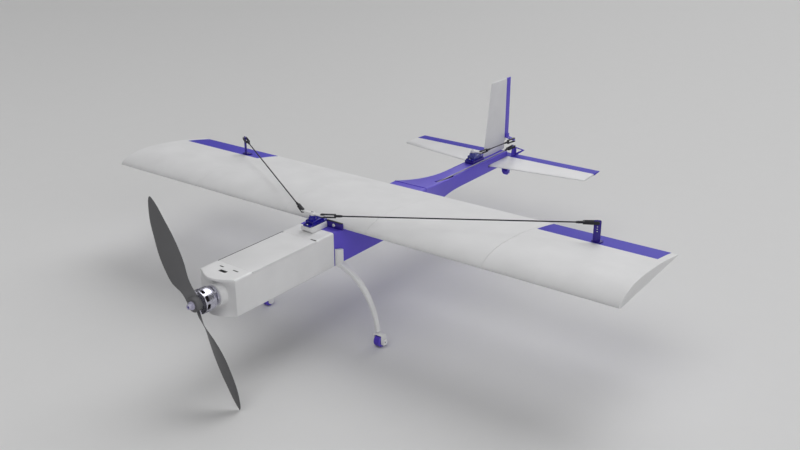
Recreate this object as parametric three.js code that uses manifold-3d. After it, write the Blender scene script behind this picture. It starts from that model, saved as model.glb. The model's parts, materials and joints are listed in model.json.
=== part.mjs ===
// Electric fixed wing model aircraft with tractor propeller, high wing, tail-dragger gear and
// three-surface control linkages. Millimetres, +Z up, nose towards -Y, left wing towards +X.
import * as THREE from "three";
import { mergeVertices } from "three/addons/utils/BufferGeometryUtils.js";
import Module from "manifold-3d";

const wasm = await Module();
wasm.setup();

// Airframe datum: x = 0 on the symmetry plane, y = 0 at the fuselage box front, z = 0 at its floor.
// The whole assembly is moved so that the origin is the bottom centre of its bounding box.
const DATUM_Y = 304.25;
const DATUM_Z = -91.8;
const GAP = 0.3;
const CLEANUP = 0.02;

// Fuselage
const BODY_HALF = 28.3;
const BODY_TOP = 46.1;
const WALL = 2;
const NOSE_LENGTH = 16;
const NOSE_BULGE = 9;
const FRONT_END = 169.2;
const CENTRE_END = 371.7;
const BOOM_START = 372;
const BOOM_TAPER = 115;
const BOOM_END = 625.4;
const BOOM_FRONT = { half: 28.3, low: 0, high: 46.7 };
const BOOM_REAR = { half: 13.3, low: 12.7, high: 34.3 };
const HATCH = { front: 27, rear: 136, thickness: 2 };
const TOP_SLOT = { left: -6, right: 5, front: 7.6, rear: 11.4 };
const VENTS = { spans: [[-14.7, -8], [6.4, 15]], front: 17.4, rear: 18.6 };
const SERVO_OPENING_HALF = 6.6;

// Wing
const HALF_SPAN = 400;
const LEADING_EDGE = 183;
const CHORD = 169.7;
const WING_Z = 49.3;
const CAMBER = 0.035;
const CAMBER_AT = 0.3;
const THICKNESS = 0.095;
const TRAILING_DROP = 0.9;
const SEAMS = [67, 233];
const SKIN = 1.2;
const SPAR = { y: 236, z: 55.2, radius: 4, reach: 320 };
const AILERON = { inner: 237, outer: 391.4, front: 307.3, hingeY: 309.9, hingeZ: 54.8, nose: 2.4 };

// Motor and propeller
const HUB_Z = 22.9;
const PROP_Y = -34.9;
const PROP_REST = 116.93;
const PROP_PITCH = 114;
const PROP_RADIUS = 128;
const BELL = { front: -30.5, rear: -17.4, radius: 14.25, wall: 1.4, windows: 9 };
const MOTOR_SEAT = { front: -8.3, radius: 15.5 };
const MOTOR_SCREWS = { pitchRadius: 8.5, hole: 1.35, angles: [45, 135, 225, 315] };
const SHAFT = { front: -41, rear: -1.2, radius: 1.58, bore: 1.7 };
const STATOR_TEETH = 12;

// Undercarriage
const WHEEL = { x: 96.5, y: 172.4, z: -84.3, radius: 7.5, width: 10 };
const GEAR_BLOCK = { front: 169.8, rear: 181.4 };
const TAIL_WHEEL = { y: 647, z: -9.3, radius: 5.5, width: 8 };
const FORK_CHEEK = 2.3;

// Tail
const FIN = { frontLow: 571.5, frontHigh: 590, rear: 634.5, low: 34.6, high: 150.8, thickness: 5 };
const RUDDER = { front: 634.9, rear: 648.5, low: 52, high: 150.5, hingeY: 637, nose: 1.7 };
const STAB = { half: 166, frontRoot: 566, frontTip: 592, rear: 626.1, z: 23.5, thickness: 3.4 };
const ELEVATOR = { front: 626.5, rear: 648, hingeY: 628.2, nose: 1.5 };

// Control linkages
const SERVO = { width: 12.2, length: 22.8, height: 22.5, tab: 32.3, tabThick: 2.2, tabDrop: 4 };
const AILERON_SERVO = { x: 0, y: 167, top: 60, hubY: 162.7, armZ: 68.4, reach: 16.3 };
const SADDLE_PLATE = { half: 33, front: 180.6, rear: 182.7, top: 55.3 };
const SERVO_TRAY = { front: 149.6, top: 53.5, half: 8.6 };
const AILERON_HORNS = { left: [313.5, 312.2, 81.5], right: [-266, 312.2, 81.5] };
const TAIL_SERVO = { x: -1, y: 546.5, top: 45.6, hubY: 541, armZ: 53, reach: 14.5 };
const ELEVATOR_SERVO = { y: 394, z: 19.9, face: 5.9, arm: 15.1, armX: 8.5, hubY: 388 };
const RUDDER_PIVOT = [20.5, 631.5, TAIL_SERVO.armZ];
const ELEVATOR_PIVOT = [18.5, 634.5, 40.5];
const ROD_RADIUS = 1;
const FORK_LENGTH = 17;
const HORN_PLATE = { width: 8.8, thickness: 1.6, holes: [11.5, 8.5, 5.5, 0] };
const HINGE_WIRE = { radius: 0.75, hole: 0.85 };

// Equipment inside the fuselage: half width, front, rear, top
const BATTERY = [17, 34, 128, 25];
const SPEED_CONTROLLER = [13, 133, 165, 11];
const RECEIVER = [12, 200, 236, 14];

const colours = {
  white: ["#c9c9cb", 0.35, 0],
  purple: ["#5b4bb8", 0.35, 0],
  clearBlue: ["#2616a0", 0.2, 0],
  darkPurple: ["#2c1c74", 0.3, 0],
  darkGrey: ["#4c4c4e", 0.5, 0],
  steel: ["#9a9aa2", 0.3, 0.9],
  aluminium: ["#b9b9c2", 0.25, 0.9],
  black: ["#1b1b20", 0.5, 0],
  copper: ["#9c5a2c", 0.4, 0.8],
  battery: ["#27407a", 0.5, 0],
  board: ["#1f5a3a", 0.6, 0],
};

const assembly = new THREE.Group();

// ---- solid helpers -------------------------------------------------------------------------

function solid(geometry) {
  const bare = geometry.clone();
  bare.deleteAttribute("normal");
  bare.deleteAttribute("uv");
  const merged = mergeVertices(bare, 1e-4);
  const triVerts = new Uint32Array(merged.index.array);
  const vertProperties = new Float32Array(merged.attributes.position.array);
  return new wasm.Manifold(new wasm.Mesh({ numProp: 3, vertProperties, triVerts }));
}

function addPart(name, body, colour) {
  const [color, roughness, metalness] = colours[colour];
  const data = body.simplify(CLEANUP).getMesh();
  const geometry = new THREE.BufferGeometry();
  geometry.setAttribute("position", new THREE.BufferAttribute(data.vertProperties, 3));
  geometry.setIndex(new THREE.BufferAttribute(data.triVerts, 1));
  geometry.computeVertexNormals();
  const mesh = new THREE.Mesh(geometry, new THREE.MeshStandardMaterial({ color, roughness, metalness }));
  mesh.name = name;
  assembly.add(mesh);
  return mesh;
}

function box(x0, x1, y0, y1, z0, z1) {
  const geometry = new THREE.BoxGeometry(x1 - x0, y1 - y0, z1 - z0);
  geometry.translate((x0 + x1) / 2, (y0 + y1) / 2, (z0 + z1) / 2);
  return solid(geometry);
}

// A round bar between two points.
function bar(start, end, radius, sides = 12) {
  const from = new THREE.Vector3(...start);
  const to = new THREE.Vector3(...end);
  const direction = to.clone().sub(from);
  const geometry = new THREE.CylinderGeometry(radius, radius, direction.length(), sides);
  const turn = new THREE.Quaternion().setFromUnitVectors(new THREE.Vector3(0, 1, 0), direction.normalize());
  geometry.applyQuaternion(turn);
  const middle = from.add(to).multiplyScalar(0.5);
  geometry.translate(middle.x, middle.y, middle.z);
  return solid(geometry);
}

// A profile of [radius, y] pairs turned about the line x = 0, z = axisZ along Y.
function turnedAboutY(profile, axisZ, sides = 36) {
  const points = profile.map(([r, y]) => new THREE.Vector2(r, y));
  const geometry = new THREE.LatheGeometry(points, sides);
  geometry.translate(0, 0, axisZ);
  return solid(geometry);
}

function shapeOf(points) {
  return new THREE.Shape(points.map(([a, b]) => new THREE.Vector2(a, b)));
}

function extrude(shape, depth) {
  return new THREE.ExtrudeGeometry(shape, { depth, bevelEnabled: false, curveSegments: 12 });
}

// Points are [y, z], extruded from x0 to x1.
function prismX(points, x0, x1) {
  const geometry = extrude(shapeOf(points), x1 - x0);
  const basis = new THREE.Matrix4().makeBasis(
    new THREE.Vector3(0, 1, 0), new THREE.Vector3(0, 0, 1), new THREE.Vector3(1, 0, 0));
  geometry.applyMatrix4(basis);
  geometry.translate(x0, 0, 0);
  return solid(geometry);
}

// Points are [x, z], extruded from y0 to y1.
function prismY(points, y0, y1) {
  const geometry = extrude(shapeOf(points), y1 - y0);
  const basis = new THREE.Matrix4().makeBasis(
    new THREE.Vector3(1, 0, 0), new THREE.Vector3(0, 0, 1), new THREE.Vector3(0, -1, 0));
  geometry.applyMatrix4(basis);
  geometry.translate(0, y1, 0);
  return solid(geometry);
}

// Points are [x, y], extruded from z0 to z1.
function prismZ(points, z0, z1) {
  const geometry = extrude(shapeOf(points), z1 - z0);
  geometry.translate(0, 0, z0);
  return solid(geometry);
}

// Closed skin through a list of rings with equal numbers of [x, y, z] points, capped at both ends.
function loft(rings) {
  const count = rings[0].length;
  const positions = rings.flat(2);
  const index = [];
  for (let r = 0; r < rings.length - 1; r++) {
    for (let i = 0; i < count; i++) {
      const a = r * count + i;
      const b = r * count + (i + 1) % count;
      index.push(a, b, b + count, a, b + count, a + count);
    }
  }
  for (let i = 1; i < count - 1; i++) {
    const last = (rings.length - 1) * count;
    index.push(0, i + 1, i);
    index.push(last, last + i, last + i + 1);
  }
  const geometry = new THREE.BufferGeometry();
  geometry.setAttribute("position", new THREE.Float32BufferAttribute(positions, 3));
  geometry.setIndex(index);
  let body = solid(geometry);
  if (body.volume() < 0) {
    geometry.setIndex(index.reverse());
    body = solid(geometry);
  }
  return body;
}

function mirrored(body) {
  return body.mirror([1, 0, 0]);
}

// Points on an arc about [a, b] between two angles in degrees.
function arc(a, b, radius, from, to, steps) {
  const points = [];
  for (let i = 0; i <= steps; i++) {
    const angle = THREE.MathUtils.degToRad(from + (to - from) * i / steps);
    points.push([a + radius * Math.cos(angle), b + radius * Math.sin(angle)]);
  }
  return points;
}

// Rectangle outline with rounded corners as [a, b] points.
function roundedOutline(a0, a1, b0, b1, radius, steps = 4) {
  return [
    ...arc(a1 - radius, b1 - radius, radius, 0, 90, steps),
    ...arc(a0 + radius, b1 - radius, radius, 90, 180, steps),
    ...arc(a0 + radius, b0 + radius, radius, 180, 270, steps),
    ...arc(a1 - radius, b0 + radius, radius, 270, 360, steps),
  ];
}

// ---- fuselage ------------------------------------------------------------------------------

const servoFront = AILERON_SERVO.y - SERVO.length / 2 - 2 * GAP;
const servoRear = AILERON_SERVO.y + SERVO.length / 2 + 2 * GAP;

function tubeSection(y0, y1, half = BODY_HALF, low = 0, high = BODY_TOP) {
  const outer = prismY(roundedOutline(-half, half, low, high, 2.5), y0, y1);
  const inside = roundedOutline(-half + WALL, half - WALL, low + WALL, high - WALL, 1.2);
  return outer.subtract(prismY(inside, y0 - 1, y1 + 1));
}

// How far the nose front stands forward: nothing at the side edges and round the motor,
// most at the middle of the top and bottom edges.
function noseReach(x, z) {
  const across = Math.cos(Math.PI * x / (2 * BODY_HALF)) ** 2;
  const up = Math.abs(z - BODY_TOP / 2) / (BODY_TOP / 2);
  return NOSE_BULGE * across * up ** 3;
}

function noseBlock() {
  const columns = 16;
  const rows = 14;
  const rings = [];
  for (let i = 0; i <= columns; i++) {
    const x = -BODY_HALF + 2 * BODY_HALF * i / columns;
    const front = [];
    for (let j = 0; j <= rows; j++) {
      const z = BODY_TOP * j / rows;
      front.push([x, -noseReach(x, z), z]);
    }
    rings.push([...front, [x, NOSE_LENGTH, BODY_TOP], [x, NOSE_LENGTH, 0]]);
  }
  return loft(rings);
}

function noseCowl() {
  const seat = bar([0, MOTOR_SEAT.front, HUB_Z], [0, 2, HUB_Z], MOTOR_SEAT.radius, 36);
  const cavity = box(-BODY_HALF + WALL, BODY_HALF - WALL, 4, NOSE_LENGTH + 1, WALL, BODY_TOP - WALL);
  const shaftHole = bar([0, -12, HUB_Z], [0, 6, HUB_Z], 5, 20);
  const topSlot = box(TOP_SLOT.left, TOP_SLOT.right, TOP_SLOT.front, TOP_SLOT.rear,
    BODY_TOP - WALL - 1, BODY_TOP + 1);
  const cowl = noseBlock().add(seat).subtract(cavity).subtract(shaftHole).subtract(topSlot);
  addPart("nose_cowl", withMotorScrewHoles(cowl), "white");
}

function withMotorScrewHoles(body) {
  let drilled = body;
  for (const degrees of MOTOR_SCREWS.angles) {
    const angle = THREE.MathUtils.degToRad(degrees);
    const x = MOTOR_SCREWS.pitchRadius * Math.cos(angle);
    const z = HUB_Z + MOTOR_SCREWS.pitchRadius * Math.sin(angle);
    drilled = drilled.subtract(bar([x, MOTOR_SEAT.front - 5, z], [x, 6, z], MOTOR_SCREWS.hole, 10));
  }
  return drilled;
}

function frontFuselage() {
  const lidFloor = BODY_TOP - HATCH.thickness - GAP;
  let body = tubeSection(NOSE_LENGTH + GAP, FRONT_END);
  const hatchOpening = box(-BODY_HALF - 1, BODY_HALF + 1, HATCH.front, HATCH.rear, lidFloor, BODY_TOP + 1);
  const servoOpening = box(-SERVO_OPENING_HALF, SERVO_OPENING_HALF, servoFront, FRONT_END + 1,
    BODY_TOP - 4, BODY_TOP + 1);
  body = body.subtract(hatchOpening).subtract(servoOpening);
  for (const [x0, x1] of VENTS.spans) {
    body = body.subtract(box(x0, x1, VENTS.front, VENTS.rear, BODY_TOP - WALL - 1, BODY_TOP + 1));
  }
  addPart("front_fuselage", body, "white");
}

function batteryHatch() {
  const low = BODY_TOP - HATCH.thickness;
  const front = HATCH.front + GAP;
  const rear = HATCH.rear - GAP;
  const lid = box(-BODY_HALF, BODY_HALF, front, rear, low, BODY_TOP);
  const rim = box(-24, 24, front + 4, rear - 4, low - 3, low + 0.5)
    .subtract(box(-22, 22, front + 6, rear - 6, low - 4, low));
  const notches = box(-BODY_HALF - 1, -24.5, rear - 2.2, rear + 1, low - 1, BODY_TOP + 1)
    .add(box(22.7, BODY_HALF + 1, rear - 1.2, rear + 1, low - 1, BODY_TOP + 1));
  addPart("battery_hatch", lid.add(rim).subtract(notches), "white");
}

function centreFuselage() {
  const start = FRONT_END + GAP;
  let body = tubeSection(start, CENTRE_END);
  const saddle = box(-BODY_HALF + WALL, BODY_HALF - WALL, 190, 345, BODY_TOP - 4, BODY_TOP + 1);
  const servoOpening = box(-SERVO_OPENING_HALF, SERVO_OPENING_HALF, start - 1, servoRear,
    BODY_TOP - 4, BODY_TOP + 1);
  body = body.subtract(saddle).subtract(servoOpening);
  addPart("centre_fuselage", body, "purple");
}

function wingSaddlePlate() {
  const { half, front, rear, top } = SADDLE_PLATE;
  const relief = box(-SERVO_OPENING_HALF, SERVO_OPENING_HALF, front - 1, rear + 1, 50.9, top + 1);
  let plate = box(-half, half, front, rear, BODY_TOP + GAP, top).subtract(relief);
  for (const x of [-19, 19]) {
    plate = plate.subtract(bar([x, front - 1, 50.6], [x, rear + 1, 50.6], 1.3, 12));
  }
  addPart("wing_saddle_plate", plate, "darkPurple");
}

// The boom eases from the wide box to the slim tail beam in plan and in side view alike.
function boomSection(y, inset = 0) {
  const ease = (1 - Math.min(1, (y - BOOM_START) / BOOM_TAPER)) ** 2;
  const mix = (front, rear) => rear + (front - rear) * ease;
  const half = mix(BOOM_FRONT.half, BOOM_REAR.half) - inset;
  const low = mix(BOOM_FRONT.low, BOOM_REAR.low) + inset;
  const high = mix(BOOM_FRONT.high, BOOM_REAR.high) - inset;
  return roundedOutline(-half, half, low, high, 2.2 - inset / 2, 2).map(([x, z]) => [x, y, z]);
}

function rearFuselage() {
  const stations = [];
  for (let i = 0; i <= 12; i++) {
    stations.push(BOOM_START + BOOM_TAPER * i / 12);
  }
  stations.push(BOOM_END);
  const innerStations = stations.map((y, i) => (i === stations.length - 1 ? y - 3 : y));
  const outer = loft(stations.map((y) => boomSection(y)));
  innerStations[0] -= 1;
  const inner = loft(innerStations.map((y) => boomSection(y, 1.8)));
  const rodSlot = box(8, 13.1, 420, 467, 30, 50);
  const stabSlot = box(-20, 20, STAB.frontRoot - GAP, BOOM_END + 1,
    STAB.z - STAB.thickness / 2 - GAP, STAB.z + STAB.thickness / 2 + GAP);
  const halfWidth = SERVO.width / 2 + GAP;
  const halfLength = SERVO.length / 2 + GAP;
  const servoSlot = box(TAIL_SERVO.x - halfWidth, TAIL_SERVO.x + halfWidth,
    TAIL_SERVO.y - halfLength, TAIL_SERVO.y + halfLength, 30, 40);
  const shell = outer.subtract(inner).subtract(rodSlot).subtract(stabSlot).subtract(servoSlot);
  addPart("rear_fuselage", shell, "purple");
}

// ---- wing ----------------------------------------------------------------------------------

// Four-digit aerofoil section: upper and lower heights above the chord line at fraction t.
function aerofoil(t) {
  const rear = 1 - CAMBER_AT;
  const camber = t < CAMBER_AT
    ? CAMBER / CAMBER_AT ** 2 * (2 * CAMBER_AT * t - t * t)
    : CAMBER / rear ** 2 * (1 - 2 * CAMBER_AT + 2 * CAMBER_AT * t - t * t);
  const half = 5 * THICKNESS
    * (0.2969 * Math.sqrt(t) - 0.126 * t - 0.3516 * t ** 2 + 0.2843 * t ** 3 - 0.1015 * t ** 4);
  const drop = -TRAILING_DROP * t;
  return [CHORD * (camber + half) + drop, CHORD * (camber - half) + drop];
}

// Section outline as [y, z] points between two chordwise places, shrunk by inset.
function wingOutline(from, to, inset = 0, steps = 18) {
  const upper = [];
  const lower = [];
  const t0 = (from - LEADING_EDGE) / CHORD;
  const t1 = (to - LEADING_EDGE) / CHORD;
  for (let i = 0; i <= steps; i++) {
    const t = t0 + (t1 - t0) * (1 - Math.cos(Math.PI * i / steps)) / 2;
    const [high, low] = aerofoil(Math.max(t, 0));
    const y = LEADING_EDGE + CHORD * t;
    upper.push([y, WING_Z + high - inset]);
    lower.push([y, WING_Z + low + inset]);
  }
  if (t0 <= 0) {
    lower.shift();
  }
  return [...lower, ...upper.reverse()];
}

function wingBox(x0, x1, rear, closedEnd) {
  const core = wingOutline(LEADING_EDGE + 7, rear, SKIN, 12);
  return prismX(core, x0 + SKIN, x1 - (closedEnd ? 3 : SKIN));
}

function sparHole(x0, x1) {
  return bar([x0, SPAR.y, SPAR.z], [x1, SPAR.y, SPAR.z], SPAR.radius + 0.25, 16);
}

function plainPanel(name, x0, x1) {
  const skin = prismX(wingOutline(LEADING_EDGE, LEADING_EDGE + CHORD), x0, x1);
  const panel = skin.subtract(wingBox(x0, x1, 325, false)).subtract(sparHole(x0 - 1, x1 + 1));
  addPart(name, panel, "white");
}

function outerPanel(name, side) {
  const x0 = SEAMS[1] + GAP / 2;
  const skin = prismX(wingOutline(LEADING_EDGE, LEADING_EDGE + CHORD), x0, HALF_SPAN);
  const cavity = wingBox(x0, HALF_SPAN, AILERON.front - 4, true);
  const bay = box(AILERON.inner, AILERON.outer, AILERON.front, 360, 40, 70);
  const wire = bar([AILERON.inner - 3, AILERON.hingeY, AILERON.hingeZ],
    [AILERON.outer + 3, AILERON.hingeY, AILERON.hingeZ], HINGE_WIRE.hole, 10);
  const shell = skin.subtract(cavity).subtract(bay);
  const panel = shell.subtract(wire).subtract(sparHole(x0 - 1, SPAR.reach + 1));
  addPart(name, side > 0 ? panel : mirrored(panel), "white");
}

function aileron(side, word) {
  const inner = AILERON.inner + GAP;
  const outer = AILERON.outer - GAP;
  const { hingeY, hingeZ, nose } = AILERON;
  const slope = Math.tan(THREE.MathUtils.degToRad(24));
  const profile = wingOutline(hingeY, LEADING_EDGE + CHORD, 0.05, 8);
  const low = profile[0];
  const high = profile[profile.length - 1];
  const front = arc(hingeY, hingeZ, nose, 90, 204, 6).map(([y, z]) => [y, Math.min(high[1], z)]);
  const tangent = front[front.length - 1];
  const heel = [tangent[0] + (tangent[1] - low[1]) * slope, low[1]];
  const tail = profile.filter(([y]) => y > heel[0] + 1);
  let body = prismX([heel, ...tail, ...[high], ...front.slice(1)], inner, outer);
  const bore = bar([inner - 1, hingeY, hingeZ], [outer + 1, hingeY, hingeZ], HINGE_WIRE.hole, 10);
  body = body.subtract(bore);
  addPart(`aileron_${word}`, side > 0 ? body : mirrored(body), "purple");
  const wire = bar([inner - 3, hingeY, hingeZ], [outer + 3, hingeY, hingeZ], HINGE_WIRE.radius, 10);
  addPart(`aileron_hinge_wire_${word}`, side > 0 ? wire : mirrored(wire), "steel");
}

function aileronHorn(word) {
  const { width, thickness, holes } = HORN_PLATE;
  const [x, y, z] = AILERON_HORNS[word];
  const armX = Math.sign(x) * AILERON_SERVO.reach;
  const heading = THREE.MathUtils.radToDeg(Math.atan2(y - AILERON_SERVO.hubY, x - armX));
  const [top] = aerofoil((y - LEADING_EDGE) / CHORD);
  const foot = WING_Z + top + 2 * GAP;
  const pivot = z - foot;
  const outline = roundedOutline(-width / 2, width / 2, 0, pivot + 3, 2, 3);
  let plate = prismY(outline, -thickness / 2, thickness / 2);
  for (const below of holes) {
    plate = plate.subtract(bar([0, -2, pivot - below], [0, 2, pivot - below], 0.9, 10));
  }
  const base = box(-6, 6, -2.2, 8.5, 0, 1.4).rotate([-9, 0, 0]);
  const horn = plate.rotate([0, 0, heading]).add(base).translate([x, y, foot]);
  addPart(`aileron_horn_${word}`, horn, "darkPurple");
}

// ---- servos, arms and pushrods -------------------------------------------------------------

// Upright micro servo: body with tabs, output boss above the case at hubY.
function uprightServo({ x, y, top, hubY, armZ }) {
  const tabTop = top - SERVO.tabDrop;
  const body = box(x - SERVO.width / 2, x + SERVO.width / 2, y - SERVO.length / 2, y + SERVO.length / 2,
    top - SERVO.height, top);
  const tabs = box(x - SERVO.width / 2, x + SERVO.width / 2, y - SERVO.tab / 2, y + SERVO.tab / 2,
    tabTop - SERVO.tabThick, tabTop);
  const boss = bar([x, hubY, top - 1], [x, hubY, armZ - 2.8], 5.6, 24);
  const gearCap = bar([x, hubY + 6.5, top - 1], [x, hubY + 6.5, armZ - 2.8], 2.7, 16);
  return body.add(tabs).add(boss).add(gearCap);
}

// Flat tapered lever in the XY plane from the hub to one end, with a pivot hole.
function leverOutline(reach, hubRadius, tipRadius) {
  return [...arc(0, 0, hubRadius, 90, 270, 9), ...arc(reach, 0, tipRadius, -90, 90, 9)];
}

function servoArm(reach) {
  const hub = bar([0, 0, -2.4], [0, 0, 1.1], 3.4, 20);
  const blade = prismZ(leverOutline(reach, 3, 2.3), -0.8, 0.8);
  const pivot = bar([reach, 0, -3], [reach, 0, 3], 0.85, 12);
  const screwHole = bar([0, 0, -4], [0, 0, 2], 1.1, 12);
  return hub.add(blade).subtract(pivot).subtract(screwHole);
}

// Forked clevis pointing along +X from its pivot pin at the origin; the pin stands along Z.
function forkClevis(withPin) {
  const gap = withPin ? 1.3 : 2;
  const outer = box(-2.6, FORK_LENGTH, -2.3, 2.3, -gap - 1.1, gap + 1.1);
  const mouth = box(-4, FORK_LENGTH - 4, -3, 3, -gap, gap);
  const body = outer.subtract(mouth);
  return withPin ? body.add(bar([0, 0, -gap - 0.5], [0, 0, gap + 0.5], 0.75, 12)) : body;
}

// Places a piece that runs along +X from the origin so that it runs from start towards end.
function aimed(body, start, end, roll = 0) {
  const direction = new THREE.Vector3(...end).sub(new THREE.Vector3(...start)).normalize();
  const yaw = THREE.MathUtils.radToDeg(Math.atan2(direction.y, direction.x));
  const pitch = -THREE.MathUtils.radToDeg(Math.asin(direction.z));
  return body.rotate([roll, 0, 0]).rotate([0, pitch, yaw]).translate(start);
}

function pointBetween(start, end, distance) {
  const from = new THREE.Vector3(...start);
  const step = new THREE.Vector3(...end).sub(from).normalize().multiplyScalar(distance);
  return from.add(step).toArray();
}

// One linkage: pinned clevis at the servo arm, rod, open clevis at the horn.
function linkage(name, start, end, nearRoll, farRoll) {
  const rodStart = pointBetween(start, end, FORK_LENGTH - 3);
  const rodEnd = pointBetween(end, start, FORK_LENGTH - 3);
  const nearFork = aimed(forkClevis(true), start, end, nearRoll);
  const farFork = aimed(forkClevis(false), end, start, farRoll);
  const rod = bar(rodStart, rodEnd, ROD_RADIUS, 10);
  addPart(`${name}_pushrod`, rod.add(nearFork).add(farFork), "darkGrey");
}

function aileronControls() {
  const { x, y, hubY, armZ, reach } = AILERON_SERVO;
  const { front, top, half } = SERVO_TRAY;
  const rear = SADDLE_PLATE.front - 2 * GAP;
  addPart("aileron_servo", uprightServo(AILERON_SERVO), "clearBlue");
  const floor = BODY_TOP + GAP;
  const side = [[front, top - 4.4], [front + 3, floor], [rear, floor], [rear, top], [front, top]];
  const halfLength = SERVO.length / 2 + 0.4;
  const well = box(-6.5, 6.5, y - halfLength, y + halfLength, BODY_TOP, top + 1);
  addPart("aileron_servo_mount", prismX(side, -half, half).subtract(well), "white");
  const arm = servoArm(reach);
  addPart("aileron_servo_arm", arm.add(mirrored(arm)).translate([x, hubY, armZ]), "white");
  linkage("aileron_left", [reach, hubY, armZ], AILERON_HORNS.left, 0, 90);
  linkage("aileron_right", [-reach, hubY, armZ], AILERON_HORNS.right, 0, 90);
}

function tailServo() {
  const { x, y, top, hubY, armZ, reach } = TAIL_SERVO;
  addPart("rudder_servo", uprightServo(TAIL_SERVO), "clearBlue");
  const tabLow = top - SERVO.tabDrop - SERVO.tabThick - GAP;
  const seat = box(x - 7.6, x + 7.6, y - SERVO.tab / 2, y + SERVO.tab / 2, BOOM_REAR.high + GAP, tabLow);
  const well = box(x - SERVO.width / 2 - GAP, x + SERVO.width / 2 + GAP,
    y - SERVO.length / 2 - GAP, y + SERVO.length / 2 + GAP, 30, 45);
  addPart("rudder_servo_mount", seat.subtract(well), "darkPurple");
  addPart("rudder_servo_arm", servoArm(reach).translate([x, hubY, armZ]), "white");
  linkage("rudder", [x + reach, hubY, armZ], RUDDER_PIVOT, 0, 0);
}

function elevatorServo() {
  const { y, z, face, armX, arm, hubY } = ELEVATOR_SERVO;
  const body = box(face - SERVO.height, face, y - SERVO.length / 2, y + SERVO.length / 2,
    z - SERVO.width / 2, z + SERVO.width / 2);
  const boss = bar([face - 1, hubY, z], [armX - 2.6, hubY, z], 1.7, 16);
  addPart("elevator_servo", body.add(boss), "clearBlue");
  const lever = servoArm(arm).rotate([0, -90, 0]).rotate([0, 0, 180]);
  addPart("elevator_servo_arm", lever.translate([armX, hubY, z]), "white");
  linkage("elevator", [armX, hubY, z + arm], ELEVATOR_PIVOT, 90, 90);
}

// ---- power unit ----------------------------------------------------------------------------

function motor() {
  const flange = MOTOR_SEAT.front - GAP;
  const ring = BELL.rear + 0.4;
  const plate = withMotorScrewHoles(bar([0, flange - 2.6, HUB_Z], [0, flange, HUB_Z], 12, 32));
  const backPlate = bar([0, ring, HUB_Z], [0, ring + 2.4, HUB_Z], 13.8, 36);
  const neck = bar([0, ring + 1, HUB_Z], [0, flange - 1, HUB_Z], 6.5, 24);
  const tube = bar([0, BELL.front + 3.5, HUB_Z], [0, flange - 1, HUB_Z], 4, 20);
  const bore = bar([0, BELL.front, HUB_Z], [0, 0, HUB_Z], 1.65, 16);
  const base = plate.add(backPlate).add(neck).add(tube).subtract(bore);
  addPart("motor_base", base, "aluminium");
  motorStator();
  motorBell();
  const shaft = bar([0, SHAFT.front, HUB_Z], [0, SHAFT.rear, HUB_Z], SHAFT.radius, 16);
  addPart("motor_shaft", shaft, "steel");
}

function motorStator() {
  const front = BELL.front + 4;
  const rear = BELL.rear - 0.5;
  let core = bar([0, front, HUB_Z], [0, rear, HUB_Z], 6.5, 24);
  const tooth = box(-1.1, 1.1, front, rear, 0, 11.9);
  for (let i = 0; i < STATOR_TEETH; i++) {
    core = core.add(tooth.rotate([0, 360 * i / STATOR_TEETH, 0]).translate([0, 0, HUB_Z]));
  }
  const bore = bar([0, front - 2, HUB_Z], [0, rear + 2, HUB_Z], 4.2, 20);
  addPart("motor_stator", core.subtract(bore), "copper");
}

function motorBell() {
  const { front, rear, radius, wall, windows } = BELL;
  const inside = radius - wall;
  const profile = [[1.7, front + 0.3], [8, front + 0.3], [11, front], [radius - 1.2, front + 0.4],
    [radius, front + 1.6], [radius, rear], [inside, rear], [inside, front + 3], [1.7, front + 3],
    [1.7, front + 0.3]];
  let bell = turnedAboutY(profile, HUB_Z, 40);
  for (let i = 0; i < windows; i++) {
    const cut = box(-2.9, 2.9, front + 2.2, front + 6.4, radius - 4, radius + 2)
      .rotate([0, 360 * (i + 0.5) / windows, 0]).translate([0, 0, HUB_Z]);
    bell = bell.subtract(cut);
  }
  addPart("motor_bell", bell, "aluminium");
}

// Blade stations: radius, leading edge and trailing edge distances from the blade's radial line.
const bladeStations = [
  [18, 9, -4], [30, 15.5, -4.2], [48, 19.2, -7.3], [66, 20.2, -8.3], [84, 18, -7.6],
  [101, 15.2, -5.6], [112, 11.5, -4.4], [121, 7.4, -2.6], [PROP_RADIUS, 2.4, 0],
];

// Section round a blade at one station as [x, y] points: along the front face from the leading edge,
// back along the rear face. The leading edge is on the -X side and forward.
function bladeSection([r, lead, trail]) {
  const pitch = Math.atan(PROP_PITCH / (2 * Math.PI * r));
  const thickness = 2.6 - 1.5 * r / PROP_RADIUS;
  const front = [[0, 0.12], [0.15, 0.75], [0.5, 0.9], [1, 0.15]];
  const back = [[1, -0.15], [0.5, -0.15], [0.15, -0.2], [0, -0.12]];
  const [cos, sin] = [Math.cos(pitch), Math.sin(pitch)];
  return [...front, ...back].map(([t, h]) => {
    const along = lead - (lead - trail) * t;
    const proud = h * thickness;
    return [-along * cos - proud * sin, -along * sin - proud * cos];
  });
}

function propellerRings() {
  const hub = [[-6.4, -2.4], [-4.4, -4], [4.4, -4], [6.4, -2.4],
    [6.4, 2.4], [4.4, 4], [-4.4, 4], [-6.4, 2.4]];
  const opposite = [3, 2, 1, 0, 7, 6, 5, 4];
  const upper = bladeStations.map((station) => bladeSection(station).map(([x, y]) => [x, y, station[0]]));
  const turned = ([x, y, z]) => [-x, y, -z];
  const lower = upper.map((ring) => opposite.map((i) => turned(ring[i])));
  const blocks = [-6.4, 6.4].map((r) => hub.map(([x, y]) => [x, y, r]));
  return [...lower.reverse(), ...blocks, ...upper];
}

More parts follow.
